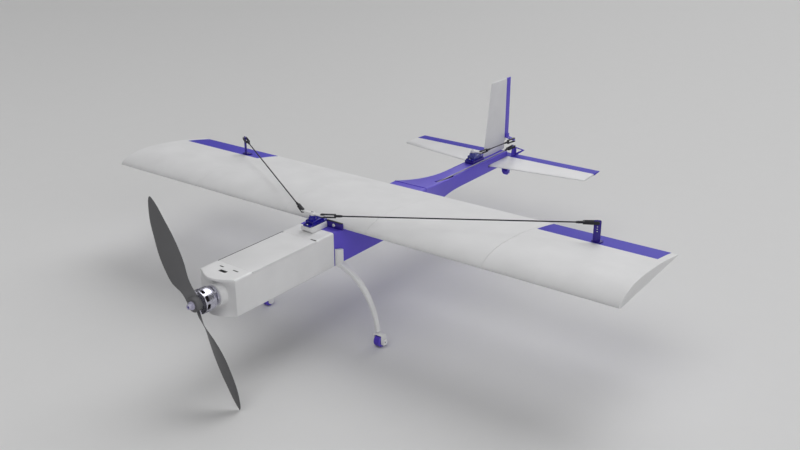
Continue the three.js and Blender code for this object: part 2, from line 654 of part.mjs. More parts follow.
function propeller() {
  const bore = bar([0, -8, 0], [0, 8, 0], SHAFT.bore, 16);
  const tilt = PROP_REST - 90;
  const blades = loft(propellerRings()).subtract(bore);
  addPart("propeller", blades.rotate([0, -tilt, 0]).translate([0, PROP_Y, HUB_Z]), "darkGrey");
  const rear = PROP_Y - 4.3;
  const nut = turnedAboutY([[0, -44], [2.2, -43.7], [3.4, -42.4], [3.9, rear], [0, rear]], HUB_Z, 24);
  const thread = bar([0, SHAFT.front - GAP, HUB_Z], [0, rear + 1, HUB_Z], SHAFT.bore, 16);
  addPart("prop_nut", nut.subtract(thread), "aluminium");
}

function equipment() {
  const cased = ([half, front, rear, top]) => box(-half, half, front, rear, WALL + GAP, top);
  addPart("battery", cased(BATTERY), "battery");
  addPart("speed_controller", cased(SPEED_CONTROLLER), "board");
  addPart("radio_receiver", cased(RECEIVER), "black");
}

// ---- undercarriage -------------------------------------------------------------------------

// A curved strut from the block on the fuselage side down to the wheel fork.
function gearLeg() {
  const { front, rear } = GEAR_BLOCK;
  const face = [[front, 1.5], [rear, -4.5], [rear, 21.5], [front, 24.5]];
  const block = prismX(face, BODY_HALF + GAP, BODY_HALF + 5);
  const path = new THREE.CubicBezierCurve(new THREE.Vector2(31, 2), new THREE.Vector2(58, -5),
    new THREE.Vector2(85, -26), new THREE.Vector2(WHEEL.x - 2.5, WHEEL.z + 12));
  const rings = [];
  for (let i = 0; i <= 14; i++) {
    const t = i / 14;
    const middle = path.getPoint(t);
    const along = path.getTangent(t);
    const width = 6.2 - 1.6 * t;
    const depth = 8.6 - 2.4 * t;
    const y = 178 - 5.6 * t;
    const corners = roundedOutline(-width / 2, width / 2, -depth / 2, depth / 2, 1, 1);
    rings.push(corners.map(([a, b]) => [middle.x - along.y * a, y + b, middle.y + along.x * a]));
  }
  const clear = box(0, BODY_HALF + GAP, 160, 195, -20, 60);
  return loft(rings).add(block).subtract(clear);
}

function gearSide(word, flip) {
  addPart(`gear_leg_${word}`, flip(gearLeg()), "white");
  const { x, y, z, radius, width } = WHEEL;
  const inner = x - width / 2 - FORK_CHEEK;
  const outer = x + width / 2 + FORK_CHEEK;
  const cheek = prismX(roundedOutline(y - 4.5, y + 4.5, z - 4.5, z + 10.6, 4, 4), inner, outer);
  const room = box(inner + 2, outer - 2, y - 9, y + 9, z - 9, z + radius + 1.1);
  const axleHole = bar([inner - 1, y, z], [outer + 1, y, z], 1.6, 14);
  addPart(`wheel_fork_${word}`, flip(cheek.subtract(room).subtract(axleHole)), "white");
  const tyre = turnedWheel(radius, width, 1.65);
  addPart(`wheel_${word}`, flip(tyre.translate([x, y, z])), "purple");
  const pin = bar([inner - 0.6, y, z], [outer + 0.9, y, z], 1.5, 14);
  const head = bar([outer + GAP, y, z], [outer + 1.9, y, z], 4.2, 24);
  addPart(`wheel_axle_${word}`, flip(pin.add(head)), "white");
}

// Roller about X, centred on the origin, with rounded shoulders and a bore.
function turnedWheel(radius, width, bore) {
  const half = width / 2;
  const shoulder = 2;
  const points = [
    [bore, -half],
    ...arc(radius - shoulder, shoulder - half, shoulder, -90, 0, 3),
    ...arc(radius - shoulder, half - shoulder, shoulder, 0, 90, 3),
    [bore, half],
    [bore, -half],
  ];
  const geometry = new THREE.LatheGeometry(points.map(([r, h]) => new THREE.Vector2(r, h)), 28);
  geometry.rotateZ(-Math.PI / 2);
  return solid(geometry);
}

function tailWheel() {
  const { y, z, radius, width } = TAIL_WHEEL;
  const half = width / 2;
  const roof = BOOM_REAR.low - GAP;
  const side = [[603, roof], [603, 9.6], [640, 2.5], [y - 3, z - 2.5], [y + 3, z - 2.5],
    [y + 3.2, z + 2], [y - 3, 7], [622, roof]];
  const arm = prismX(side, -half - 1.8, half + 1.8);
  const room = box(-half - 0.4, half + 0.4, y - radius - 1.2, y + 20, z - 20, z + radius + 1.2);
  const bracket = arm.subtract(room).subtract(bar([-20, y, z], [20, y, z], 1.15, 12));
  addPart("tail_wheel_fork", bracket, "purple");
  addPart("tail_wheel", turnedWheel(radius, width, 1.15).translate([0, y, z]), "purple");
  addPart("tail_wheel_axle", bar([-half - 2.4, y, z], [half + 2.4, y, z], 1, 12), "steel");
}

// ---- tail surfaces -------------------------------------------------------------------------

function finAndRudder() {
  const { frontLow, frontHigh, rear, low, high, thickness } = FIN;
  const outline = (front, z) => {
    const chord = rear - front;
    const steps = [[0, 0], [0.05, 0.6], [0.25, 1], [0.6, 0.9], [1, 0.62]];
    const right = steps.map(([t, h]) => [h * thickness / 2, front + chord * t, z]);
    const left = steps.slice(1).reverse().map(([t, h]) => [-h * thickness / 2, front + chord * t, z]);
    return [...right, ...left];
  };
  const bodyFin = loft([outline(frontLow, low), outline(frontHigh, high)]);
  const { hingeY, nose } = RUDDER;
  const wireHole = bar([0, hingeY, low], [0, hingeY, high], HINGE_WIRE.hole, 10);
  const foot = box(-1.4, 1.4, RUDDER.front - 1, hingeY + 2, 47.5, 50.9).subtract(wireHole);
  addPart("fin", bodyFin.add(foot), "white");
  const profile = [[0.5, RUDDER.rear], [-0.5, RUDDER.rear], ...arc(0, hingeY, nose, 180, 360, 7)];
  addPart("rudder", prismZ(profile, RUDDER.low, RUDDER.high).subtract(wireHole), "purple");
  const wire = bar([0, hingeY, 46.5], [0, hingeY, RUDDER.high - 8], HINGE_WIRE.radius, 10);
  addPart("rudder_hinge_wire", wire, "steel");
}

// A flat triangular frame beside the rudder's foot, with a flange against its face.
function rudderHorn() {
  const { hingeY, nose, rear } = RUDDER;
  const [px, py, pz] = RUDDER_PIVOT;
  const side = nose + GAP;
  const plate = [[side, hingeY - 1], [px - 1, py - 2.6], [px + 2.6, py], [px, py + 2.6], [side, rear - 2.5]];
  const opening = [[4.5, hingeY], [14.5, hingeY - 2.6], [4.5, hingeY + 5.6]];
  const frame = prismZ(plate, pz - 0.8, pz + 0.8)
    .subtract(prismZ(opening, pz - 2, pz + 2))
    .subtract(bar([px, py, pz - 3], [px, py, pz + 3], 0.9, 12));
  const flange = box(side, side + 1.6, hingeY - 0.8, rear - 2.5, pz - 0.8, pz + 5);
  addPart("rudder_horn", frame.add(flange), "purple");
}

function stabAndElevator() {
  const { half, frontRoot, frontTip, rear, z, thickness } = STAB;
  const station = (x, front) => {
    const h = thickness / 2;
    return [[x, front, z], [x, front + 2, z + h * 0.7], [x, front + 8, z + h], [x, rear, z + h],
      [x, rear, z - h], [x, front + 8, z - h], [x, front + 2, z - h * 0.7]];
  };
  const board = loft([station(-half, frontTip), station(0, frontRoot), station(half, frontTip)]);
  addPart("stabilizer", board, "white");
  const { hingeY, nose } = ELEVATOR;
  const profile = [[ELEVATOR.rear, z - 0.5], [ELEVATOR.rear, z + 0.5], ...arc(hingeY, z, nose, 90, 270, 7)];
  const bore = bar([-half - 1, hingeY, z], [half + 1, hingeY, z], 0.75, 10);
  addPart("elevator", prismX(profile, -half, half).subtract(bore), "purple");
  addPart("elevator_hinge_wire", bar([-half + 4, hingeY, z], [half - 4, hingeY, z], 0.65, 10), "steel");
}

// An upright plate on the elevator with the pivot hole, braced by a triangular frame to one side.
function elevatorHorn() {
  const foot = ELEVATOR.nose + STAB.z + GAP;
  const [px, py, pz] = ELEVATOR_PIVOT;
  const plate = [[629, foot], [645, foot - 0.2], [py + 2.6, pz], [py, pz + 2.6], [py - 2.6, pz]];
  const brace = [[px, foot], [px + 4, foot], [px + 18, pz - 4.6], [px, pz - 2]];
  const opening = [[px + 2.4, foot + 3.2], [px + 13, pz - 5.4], [px + 2.4, pz - 4]];
  const horn = prismX(plate, px - 0.8, px + 0.8)
    .add(prismY(brace, 640, 641.6))
    .subtract(prismY(opening, 639, 643))
    .subtract(bar([px - 2, py, pz], [px + 2, py, pz], 0.9, 12));
  addPart("elevator_horn", horn, "purple");
}

// ---- assembly ------------------------------------------------------------------------------

noseCowl();
frontFuselage();
batteryHatch();
centreFuselage();
wingSaddlePlate();
rearFuselage();
plainPanel("wing_centre", -SEAMS[0] + GAP / 2, SEAMS[0] - GAP / 2);
plainPanel("wing_inner_left", SEAMS[0] + GAP / 2, SEAMS[1] - GAP / 2);
plainPanel("wing_inner_right", -SEAMS[1] + GAP / 2, -SEAMS[0] - GAP / 2);
outerPanel("wing_outer_left", 1);
outerPanel("wing_outer_right", -1);
addPart("wing_spar", bar([-SPAR.reach, SPAR.y, SPAR.z], [SPAR.reach, SPAR.y, SPAR.z], SPAR.radius, 16),
  "black");
for (const [side, word] of [[1, "left"], [-1, "right"]]) {
  aileron(side, word);
  aileronHorn(word);
  gearSide(word, side > 0 ? (body) => body : mirrored);
}
aileronControls();
tailServo();
elevatorServo();
motor();
propeller();
equipment();
finAndRudder();
rudderHorn();
stabAndElevator();
elevatorHorn();
tailWheel();

assembly.position.set(0, -DATUM_Y, -DATUM_Z);
const drone = new THREE.Group();
drone.add(assembly);
export default drone;
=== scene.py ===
import json
import math

import bmesh
import bpy
from mathutils import Matrix, Vector


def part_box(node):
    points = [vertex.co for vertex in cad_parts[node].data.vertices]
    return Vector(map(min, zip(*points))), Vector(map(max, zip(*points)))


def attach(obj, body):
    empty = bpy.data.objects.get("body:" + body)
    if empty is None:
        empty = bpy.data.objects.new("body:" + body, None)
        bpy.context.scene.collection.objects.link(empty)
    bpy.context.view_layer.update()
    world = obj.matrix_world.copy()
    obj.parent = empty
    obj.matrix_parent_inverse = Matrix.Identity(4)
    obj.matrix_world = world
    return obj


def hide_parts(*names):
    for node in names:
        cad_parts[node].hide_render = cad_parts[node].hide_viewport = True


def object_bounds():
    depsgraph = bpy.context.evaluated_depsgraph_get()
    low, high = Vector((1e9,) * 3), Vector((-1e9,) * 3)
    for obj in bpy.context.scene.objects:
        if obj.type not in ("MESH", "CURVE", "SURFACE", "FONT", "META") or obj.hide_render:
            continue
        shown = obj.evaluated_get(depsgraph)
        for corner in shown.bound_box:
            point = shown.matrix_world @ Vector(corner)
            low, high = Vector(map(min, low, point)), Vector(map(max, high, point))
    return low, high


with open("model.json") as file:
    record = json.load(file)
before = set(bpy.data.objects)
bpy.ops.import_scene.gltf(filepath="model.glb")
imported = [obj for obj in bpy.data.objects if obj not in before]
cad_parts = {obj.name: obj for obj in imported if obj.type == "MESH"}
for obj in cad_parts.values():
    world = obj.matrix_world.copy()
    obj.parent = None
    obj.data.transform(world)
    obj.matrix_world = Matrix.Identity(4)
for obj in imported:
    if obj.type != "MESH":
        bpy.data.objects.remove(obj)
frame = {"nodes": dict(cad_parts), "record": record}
cad_low, cad_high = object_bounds()

MM = 0.001
nodes = frame["nodes"]
slot_of = {part["node"]: part["material_slot"] for part in frame["record"]["subparts"]}
body_of = {node: body for body, members in frame["record"]["behaviour"]["bodies"].items() for node in members}

# Airframe datum: x = 0 on the symmetry plane, y = 0 at the front of the fuselage box, z = 0 at its floor.
nose_low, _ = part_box("front_fuselage")
COWL_DEPTH = 16.3
DATUM = Vector((0, nose_low.y - COWL_DEPTH * MM, nose_low.z))


def at(x, y, z):
    return DATUM + Vector((x, y, z)) * MM


# ---- materials -----------------------------------------------------------------------------

def link(tree, a, b):
    tree.links.new(a, b)


MOTTLE_SCALE, GRAIN_SCALE = 28, 900
PLASTIC_IOR, COAT_ROUGHNESS = 1.46, 0.12
ROUGHNESS_SPREAD = 0.05


def plastic(name, colour, roughness=0.35, grain=0.02, variation=0.03, coat=0.0,
            transmission=0.0, metallic=0.0):
    """Principled material: base colour with a faint mottling, fine surface grain in bump and roughness."""
    material = bpy.data.materials.new(name)
    material.use_nodes = True
    tree = material.node_tree
    shader = tree.nodes["Principled BSDF"]
    shader.inputs["Metallic"].default_value = metallic
    shader.inputs["IOR"].default_value = PLASTIC_IOR
    shader.inputs["Coat Weight"].default_value = coat
    shader.inputs["Coat Roughness"].default_value = COAT_ROUGHNESS
    shader.inputs["Transmission Weight"].default_value = transmission
    place = tree.nodes.new("ShaderNodeTexCoord")
    coarse = tree.nodes.new("ShaderNodeTexNoise")
    coarse.inputs["Scale"].default_value = MOTTLE_SCALE
    coarse.inputs["Detail"].default_value = 4
    link(tree, place.outputs["Object"], coarse.inputs["Vector"])
    ramp = tree.nodes.new("ShaderNodeValToRGB")
    dark = [c * (1 - variation) for c in colour]
    pale = [min(1, c * (1 + variation)) for c in colour]
    ramp.color_ramp.elements[0].position = 0.3
    ramp.color_ramp.elements[0].color = (*dark, 1)
    ramp.color_ramp.elements[1].position = 0.7
    ramp.color_ramp.elements[1].color = (*pale, 1)
    link(tree, coarse.outputs["Fac"], ramp.inputs["Fac"])
    link(tree, ramp.outputs["Color"], shader.inputs["Base Color"])
    fine = tree.nodes.new("ShaderNodeTexNoise")
    fine.inputs["Scale"].default_value = GRAIN_SCALE
    fine.inputs["Detail"].default_value = 3
    link(tree, place.outputs["Object"], fine.inputs["Vector"])
    spread = tree.nodes.new("ShaderNodeMapRange")
    spread.inputs["To Min"].default_value = max(0.02, roughness - ROUGHNESS_SPREAD)
    spread.inputs["To Max"].default_value = roughness + ROUGHNESS_SPREAD
    link(tree, fine.outputs["Fac"], spread.inputs["Value"])
    link(tree, spread.outputs["Result"], shader.inputs["Roughness"])
    bump = tree.nodes.new("ShaderNodeBump")
    bump.inputs["Strength"].default_value = grain
    bump.inputs["Distance"].default_value = 0.0004
    link(tree, fine.outputs["Fac"], bump.inputs["Height"])
    link(tree, bump.outputs["Normal"], shader.inputs["Normal"])
    return material


def srgb(*values):
    return [((v / 255 + 0.055) / 1.055) ** 2.4 if v > 10 else v / 255 / 12.92 for v in values]


materials = {
    "white_plastic": plastic("white_plastic", srgb(232, 232, 233), roughness=0.34, coat=0.1),
    "purple_plastic": plastic("purple_plastic", srgb(96, 80, 208), roughness=0.4),
    "purple_film": plastic("purple_film", srgb(60, 48, 184), roughness=0.6),
    "clear_blue_plastic": plastic("clear_blue_plastic", srgb(40, 30, 190), roughness=0.12, transmission=0.5),
    "dark_purple_plastic": plastic("dark_purple_plastic", srgb(52, 34, 140), roughness=0.25),
    "dark_grey_plastic": plastic("dark_grey_plastic", srgb(100, 100, 102), roughness=0.5, grain=0.05),
    "black_plastic": plastic("black_plastic", srgb(30, 29, 38), roughness=0.45),
    "carbon_tube": plastic("carbon_tube", srgb(25, 25, 25), roughness=0.4),
    "steel": plastic("steel", srgb(190, 190, 196), roughness=0.25, metallic=1.0),
    "rod_metal": plastic("rod_metal", srgb(150, 148, 160), roughness=0.4, metallic=0.6),
    "aluminium": plastic("aluminium", srgb(214, 213, 226), roughness=0.27, metallic=1.0),
    "deep_black": plastic("deep_black", srgb(8, 8, 9), roughness=0.8),
    "nut_look": plastic("nut_look", srgb(190, 187, 208), roughness=0.5, metallic=0.4),
    "nut_core": plastic("nut_core", srgb(84, 76, 150), roughness=0.4, metallic=0.4),
    "tail_servo_look": plastic("tail_servo_look", srgb(88, 92, 176), roughness=0.25, transmission=0.3),
    # The coils' near-black colour is painted shade of the inside of the bell, seen through its windows.
    "winding": plastic("winding", srgb(48, 40, 42), roughness=0.5, metallic=0.4),
    "wing_look": plastic("wing_look", srgb(226, 226, 227), roughness=0.52),
    "thin_white": plastic("thin_white", srgb(226, 226, 228), roughness=0.36, coat=0.1),
    "wheel_look": plastic("wheel_look", srgb(88, 66, 196), roughness=0.3),
    "battery_wrap": plastic("battery_wrap", srgb(40, 70, 130), roughness=0.4),
    "circuit_board": plastic("circuit_board", srgb(30, 90, 55), roughness=0.5),
}

# ---- mesh helpers (all shapes in datum millimetres) ----------------------------------------

def rad(degrees):
    return math.radians(degrees)


def shade(bm, limit):
    """Smooth shading, with edges that turn by more than limit radians kept sharp."""
    for face in bm.faces:
        face.smooth = True
    for edge in bm.edges:
        if len(edge.link_faces) == 2:
            edge.smooth = edge.calc_face_angle(0) < limit
        else:
            edge.smooth = False


def soften(bm, width, segments=2, limit=40, keep=lambda edge: True):
    """Rounds the edges that turn by more than limit degrees."""
    edges = [e for e in bm.edges if len(e.link_faces) == 2 and e.calc_face_angle(0) > rad(limit) and keep(e)]
    if edges:
        bmesh.ops.bevel(bm, geom=edges, offset=width, segments=segments, profile=0.5, affect="EDGES",
                        clamp_overlap=True)


def shape(verts, faces):
    bm = bmesh.new()
    made = [bm.verts.new(v) for v in verts]
    for face in faces:
        if len(set(face)) > 2:
            try:
                bm.faces.new([made[i] for i in face])
            except ValueError:
                pass
    tidy(bm)
    return bm


def tidy(bm):
    bmesh.ops.remove_doubles(bm, verts=bm.verts, dist=0.002)
    bmesh.ops.dissolve_degenerate(bm, dist=0.001, edges=bm.edges)
    bmesh.ops.recalc_face_normals(bm, faces=bm.faces)


def loft(rings):
    """Skin through rings with equal numbers of points, capped at both ends."""
    n = len(rings[0])
    verts = [p for ring in rings for p in ring]
    faces = []
    for r in range(len(rings) - 1):
        for i in range(n):
            j = (i + 1) % n
            faces.append((r * n + i, r * n + j, (r + 1) * n + j, (r + 1) * n + i))
    faces.append(tuple(range(n))[::-1])
    faces.append(tuple(range((len(rings) - 1) * n, len(rings) * n)))
    return shape(verts, faces)


def frame_of(axis):
    """Two directions that, with the axis, make a right-handed set."""
    axis = Vector(axis).normalized()
    side = axis.cross(Vector((0, 0, 1)))
    if side.length < 1e-4:
        side = Vector((1, 0, 0))
    side.normalize()
    return axis, side, axis.cross(side)


def lathe(profile, centre, axis, sides=48):
    """Turns (radius, height) pairs about an axis. The profile runs from axis to axis, or closes on itself."""
    axis, u, v = frame_of(axis)
    centre = Vector(centre)
    rings = []
    for k in range(sides):
        a = 2 * math.pi * k / sides
        out = u * math.cos(a) + v * math.sin(a)
        rings.append([centre + axis * h + out * r for r, h in profile])
    n = len(profile)
    verts = [p for ring in rings for p in ring]
    faces = []
    for k in range(sides):
        for i in range(n - 1):
            a, b = k * n + i, k * n + i + 1
            c, d = ((k + 1) % sides) * n + i + 1, ((k + 1) % sides) * n + i
            faces.append((a, b, c, d))
    return shape(verts, faces)


def rod(start, end, radius, sides=24, edge=0.15):
    """Round bar with softened ends."""
    start, end = Vector(start), Vector(end)
    length = (end - start).length
    profile = [(0, 0), (radius - edge, 0), (radius, edge), (radius, length - edge), (radius - edge, length),
               (0, length)]
    return lathe(profile, start, end - start, sides)


def rounded_outline(a0, a1, b0, b1, radius, steps=6):
    points = []
    for a, b, turn in ((a1 - radius, b1 - radius, 0), (a0 + radius, b1 - radius, 90),
                       (a0 + radius, b0 + radius, 180), (a1 - radius, b0 + radius, 270)):
        for i in range(steps + 1):
            angle = rad(turn + 90 * i / steps)
            points.append((a + radius * math.cos(angle), b + radius * math.sin(angle)))
    return points


PLANES = {"x": lambda a, b, h: (h, a, b), "y": lambda a, b, h: (a, h, b), "z": lambda a, b, h: (a, b, h)}


def prism(outline, low, high, axis="z", edge=0.0, segments=2):
    """Outline of (a, b) pairs pushed along an axis, with its two rims rounded by edge."""
    put = PLANES[axis]
    bm = loft([[put(a, b, low) for a, b in outline], [put(a, b, high) for a, b in outline]])
    if edge:
        index = "xyz".index(axis)
        rim = lambda e: abs(e.verts[0].co[index] - e.verts[1].co[index]) < 1e-4
        soften(bm, edge, segments, 50, rim)
    return bm


def block(x0, x1, y0, y1, z0, z1, edge=0.4, corner=0.6, axis="z"):
    """Box between two corners: corner rounds the edges along axis, edge rounds the two end rims."""
    spans = {"x": (y0, y1, z0, z1, x0, x1),
             "y": (x0, x1, z0, z1, y0, y1),
             "z": (x0, x1, y0, y1, z0, z1)}[axis]
    return prism(rounded_outline(*spans[:4], corner, 4), spans[4], spans[5], axis, edge)


def merged(*meshes):
    """Several closed shapes as one mesh."""
    whole = bmesh.new()
    for bm in meshes:
        carrier = bpy.data.meshes.new("carrier")
        bm.to_mesh(carrier)
        whole.from_mesh(carrier)
        bpy.data.meshes.remove(carrier)
        bm.free()
    return whole


def moved(bm, matrix):
    bmesh.ops.transform(bm, matrix=matrix, verts=bm.verts)
    if matrix.determinant() < 0:
        bmesh.ops.reverse_faces(bm, faces=bm.faces)
    return bm


def mirror_x(bm):
    return moved(bm, Matrix.Scale(-1, 4, (1, 0, 0)))


def combine(bm, other, operation="DIFFERENCE"):
    """Solid join or cut of two shapes."""
    holders = []
    for part in (bm, other):
        mesh = bpy.data.meshes.new("work")
        part.to_mesh(mesh)
        part.free()
        holder = bpy.data.objects.new("work", mesh)
        bpy.context.scene.collection.objects.link(holder)
        holders.append(holder)
    tool = holders[0].modifiers.new("cut", "BOOLEAN")
    tool.operation = operation
    tool.solver = "EXACT"
    tool.object = holders[1]
    bpy.context.view_layer.update()
    graph = bpy.context.evaluated_depsgraph_get()
    result = bmesh.new()
    result.from_mesh(holders[0].evaluated_get(graph).to_mesh())
    for holder in holders:
        mesh = holder.data
        bpy.data.objects.remove(holder)
        bpy.data.meshes.remove(mesh)
    bmesh.ops.remove_doubles(result, verts=result.verts, dist=0.001)
    return result


def piece(name, bm, body, slot, hides=(), look=None, limit=34):
    """Makes a Blender object from a shape in datum millimetres and hangs it on its CAD body."""
    shade(bm, rad(limit))
    bmesh.ops.transform(bm, matrix=Matrix.Translation(DATUM) @ Matrix.Scale(MM, 4), verts=bm.verts)
    mesh = bpy.data.meshes.new(name)
    bm.to_mesh(mesh)
    bm.free()
    made = bpy.data.objects.new(name, mesh)
    bpy.context.scene.collection.objects.link(made)
    mesh.materials.append(materials[look or slot])
    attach(made, body)
    if hides:
        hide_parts(*hides)
    return made


def from_cad(node):
    """The node's own shape in datum millimetres, with its flat faces made whole."""
    bm = bmesh.new()
    bm.from_mesh(nodes[node].data)
    bmesh.ops.transform(bm, matrix=Matrix.Scale(1 / MM, 4) @ Matrix.Translation(-DATUM), verts=bm.verts)
    bmesh.ops.remove_doubles(bm, verts=bm.verts, dist=0.003)
    bmesh.ops.dissolve_limit(bm, angle_limit=rad(0.6), verts=bm.verts, edges=bm.edges)
    return bm


def finished(node, edge):
    """A CAD shape with its hard edges eased."""
    bm = from_cad(node)
    if edge:
        soften(bm, edge)
    return piece(node + "_shell", bm, body_of[node], slot_of[node], (node,))


def screw(name, centre, direction, body, radius=1.9, height=1.3, slot="steel"):
    """Pan-head screw with a cross recess."""
    axis, u, v = frame_of(direction)
    head = lathe([(0, 0), (radius, 0), (radius, height * 0.45), (radius * 0.8, height * 0.85),
                  (radius * 0.4, height), (0, height)], centre, axis, 24)
    for a, b in ((u, v), (v, u)):
        bar = []
        for h in (height * 0.45, height * 1.6):
            for p, q in ((1, 0.16), (1, -0.16), (-1, -0.16), (-1, 0.16)):
                bar.append(Vector(centre) + axis * h + a * (p * radius * 0.58) + b * (q * radius))
        head = combine(head, loft([bar[:4], bar[4:]]))
    return piece(name, head, body, slot)


# ---- fuselage ------------------------------------------------------------------------------

HALF, TOP, WALL = 28.3, 46.1, 2.0
HUB_Z = 22.9
FRONT_END = 169.2
CENTRE_END = 371.7
HATCH = (27, 136)
VISOR_REACH, LIP_REACH = 11.5, 12
BOOM_START, BOOM_TAPER, BOOM_END = 372, 115, 625.4
BOOM_FRONT_HALF, BOOM_REAR_HALF = 28.3, 13.3
BOOM_REAR_LOW, BOOM_REAR_HIGH, BOOM_FRONT_HIGH = 12.7, 34.3, 46.7


def nose_reach(x, z):
    """How far the nose front stands forward: a visor along the top edge and a lip along the bottom."""
    across = max(0, math.cos(math.pi * x / (2 * HALF))) ** 1.3
    up = (z - TOP / 2) / (TOP / 2)
    if up > 0:
        return VISOR_REACH * across * min(1, 1.16 * up) ** 6
    return LIP_REACH * across * (-up) ** 5


def nose_and_body():
    """Cowl and front box in one shell, with visor, lip, hatch opening and slots; black blocks under the slots
    are painted shade.
    """
    outline = rounded_outline(-HALF, HALF, 0, TOP, 2.2, 6)
    dense = []
    for k, (a, b) in enumerate(outline):
        nxt = outline[(k + 1) % len(outline)]
        steps = max(1, round(math.hypot(nxt[0] - a, nxt[1] - b) / 1.6))
        dense += [(a + (nxt[0] - a) * i / steps, b + (nxt[1] - b) * i / steps) for i in range(steps)]
    rings = [[(x, y, z) for x, z in dense] for y in (FRONT_END, FRONT_END - 0.4)]
    rings[0] = [(x * 0.99, y, TOP / 2 + (z - TOP / 2) * 0.985) for x, y, z in rings[0]]
    rings += [[(x, y, z) for x, z in dense] for y in (60, 16, 6)]
    rim = 0.7
    for turn in (0, 25, 50, 75, 90):
        ring = []
        for x, z in dense:
            inward = rim * (1 - math.cos(rad(turn)))
            k = 1 - inward / 26
            px, pz = x * k, TOP / 2 + (z - TOP / 2) * k
            ring.append((px, rim - rim * math.sin(rad(turn)) - nose_reach(px, pz), pz))
        rings.append(ring)
    inner = rings[-1]
    for step in range(1, 15):
        k = 1 - step / 15
        ring = []
        for x, _, z in inner:
            px, pz = x * k, HUB_Z + (z - HUB_Z) * k
            ring.append((px, -nose_reach(px, pz), pz))
        rings.append(ring)
    body = loft(rings)
    inside = rounded_outline(-HALF + WALL, HALF - WALL, WALL, TOP - WALL, 1.2, 4)
    body = combine(body, prism(inside, 18, FRONT_END + 2, "y"))
    opening = block(-27.2, HALF + 1, HATCH[0], HATCH[1], TOP - WALL - 0.3, TOP + 2, 0, 0.3)
    body = combine(body, opening)
    body = combine(body, block(-6.2, 5.2, 7.0, 12.0, TOP - 5, TOP + 2, 0, 1.2))
    # Black blocks just under the slots and the hatch slit: painted shade of the slot openings.
    shadows = []
    for x0, x1 in ((-14.7, -8), (6.4, 15)):
        body = combine(body, block(x0, x1, 17.0, 19.1, TOP - 5, TOP + 2, 0, 0.5))
        shadows.append(block(x0 - 0.5, x1 + 0.5, 16.5, 19.6, TOP - 6, TOP - 0.4, 0.1, 0.3))
    shadows.append(block(17.6, 27.4, 136.2, 139.2, TOP - 6, TOP - 0.4, 0.1, 0.3))
    shadows.append(block(-6.9, 5.9, 6.3, 12.7, TOP - 7, TOP - 0.5, 0.1, 0.6))
    body = combine(body, block(-6.7, 6.7, 154.9, FRONT_END + 1, TOP - 6, TOP + 2, 0, 0.4))
    body = combine(body, block(18.0, 27.0, 136.4, 138.8, TOP - 5, TOP + 2, 0, 0.4))
    piece("slot_shade", merged(*shadows), "airframe", "black_plastic", look="deep_black")
    piece("nose_and_body", body, "airframe", "white_plastic", ("nose_cowl", "front_fuselage"))
    seat = lathe([(5, -8.3), (13.4, -8.3), (13.9, -7.8), (14.0, -3), (14.6, -1), (15.8, 0.2), (15.8, 1.5),
                  (5, 1.5), (5, -8.3)], (0, 0, HUB_Z), (0, 1, 0), 96)
    piece("motor_seat", seat, "airframe", "white_plastic")


def hatch():
    front, rear = HATCH[0] + 0.12, HATCH[1] - 0.2
    lid = prism(rounded_outline(-26.2, HALF, front, rear, 0.8, 4), TOP - WALL, TOP, "z", 0)
    round_side = lambda e: all(v.co.x > HALF - 0.01 and v.co.z > TOP - 0.01 for v in e.verts)
    soften(lid, 1.9, 5, 40, round_side)
    soften(lid, 0.2, 2, 60, lambda e: all(v.co.z > TOP - 0.01 and v.co.x < HALF - 3 for v in e.verts))
    rim = combine(block(-24, 24, front + 4, rear - 4, TOP - 5, TOP - WALL + 0.2, 0.3, 2),
                  block(-22, 22, front + 6, rear - 6, TOP - 7, TOP - WALL - 0.05, 0, 1.2))
    lid = combine(lid, rim, "UNION")
    lid = combine(lid, block(-27.5, -24.5, rear - 2.4, rear + 1, TOP - 4, TOP + 1, 0, 0.4))
    # Black strip down the seam beside the lid: painted shade of the gap between lid and body.
    gap_shade = block(-27.4, -26.3, HATCH[0] + 0.3, HATCH[1] - 1, TOP - 2.6, TOP - 0.1, 0, 0.1)
    piece("hatch_gap_shade", gap_shade, "airframe", "black_plastic")
    piece("hatch_lid", lid, "hatch", "white_plastic", ("battery_hatch",))


def centre_body():
    start, end = FRONT_END + 0.3, CENTRE_END
    shell = prism(rounded_outline(-HALF, HALF, 0, TOP, 2.4, 6), start, end, "y", 0.3)
    shell = combine(shell, prism(rounded_outline(-HALF + WALL, HALF - WALL, WALL, TOP - WALL, 1.2, 4),
                                 start - 1, end + 1, "y"))
    shell = combine(shell, block(-HALF + WALL, HALF - WALL, 190, 345, TOP - 5, TOP + 2, 0, 2))
    shell = combine(shell, block(-6.7, 6.7, start - 1, 179.2, TOP - 5, TOP + 2, 0, 0.4))
    piece("centre_body", shell, "airframe", "purple_plastic", ("centre_fuselage",))


def boom_outline(y, inset=0.0, steps=5):
    ease = (1 - min(1, (y - BOOM_START) / BOOM_TAPER)) ** 2
    half = BOOM_REAR_HALF + (BOOM_FRONT_HALF - BOOM_REAR_HALF) * ease - inset
    low = BOOM_REAR_LOW * (1 - ease) + inset
    high = BOOM_REAR_HIGH + (BOOM_FRONT_HIGH - BOOM_REAR_HIGH) * ease - inset
    return [(x, y, z) for x, z in rounded_outline(-half, half, low, high, max(0.6, 2.2 - inset / 2), steps)]


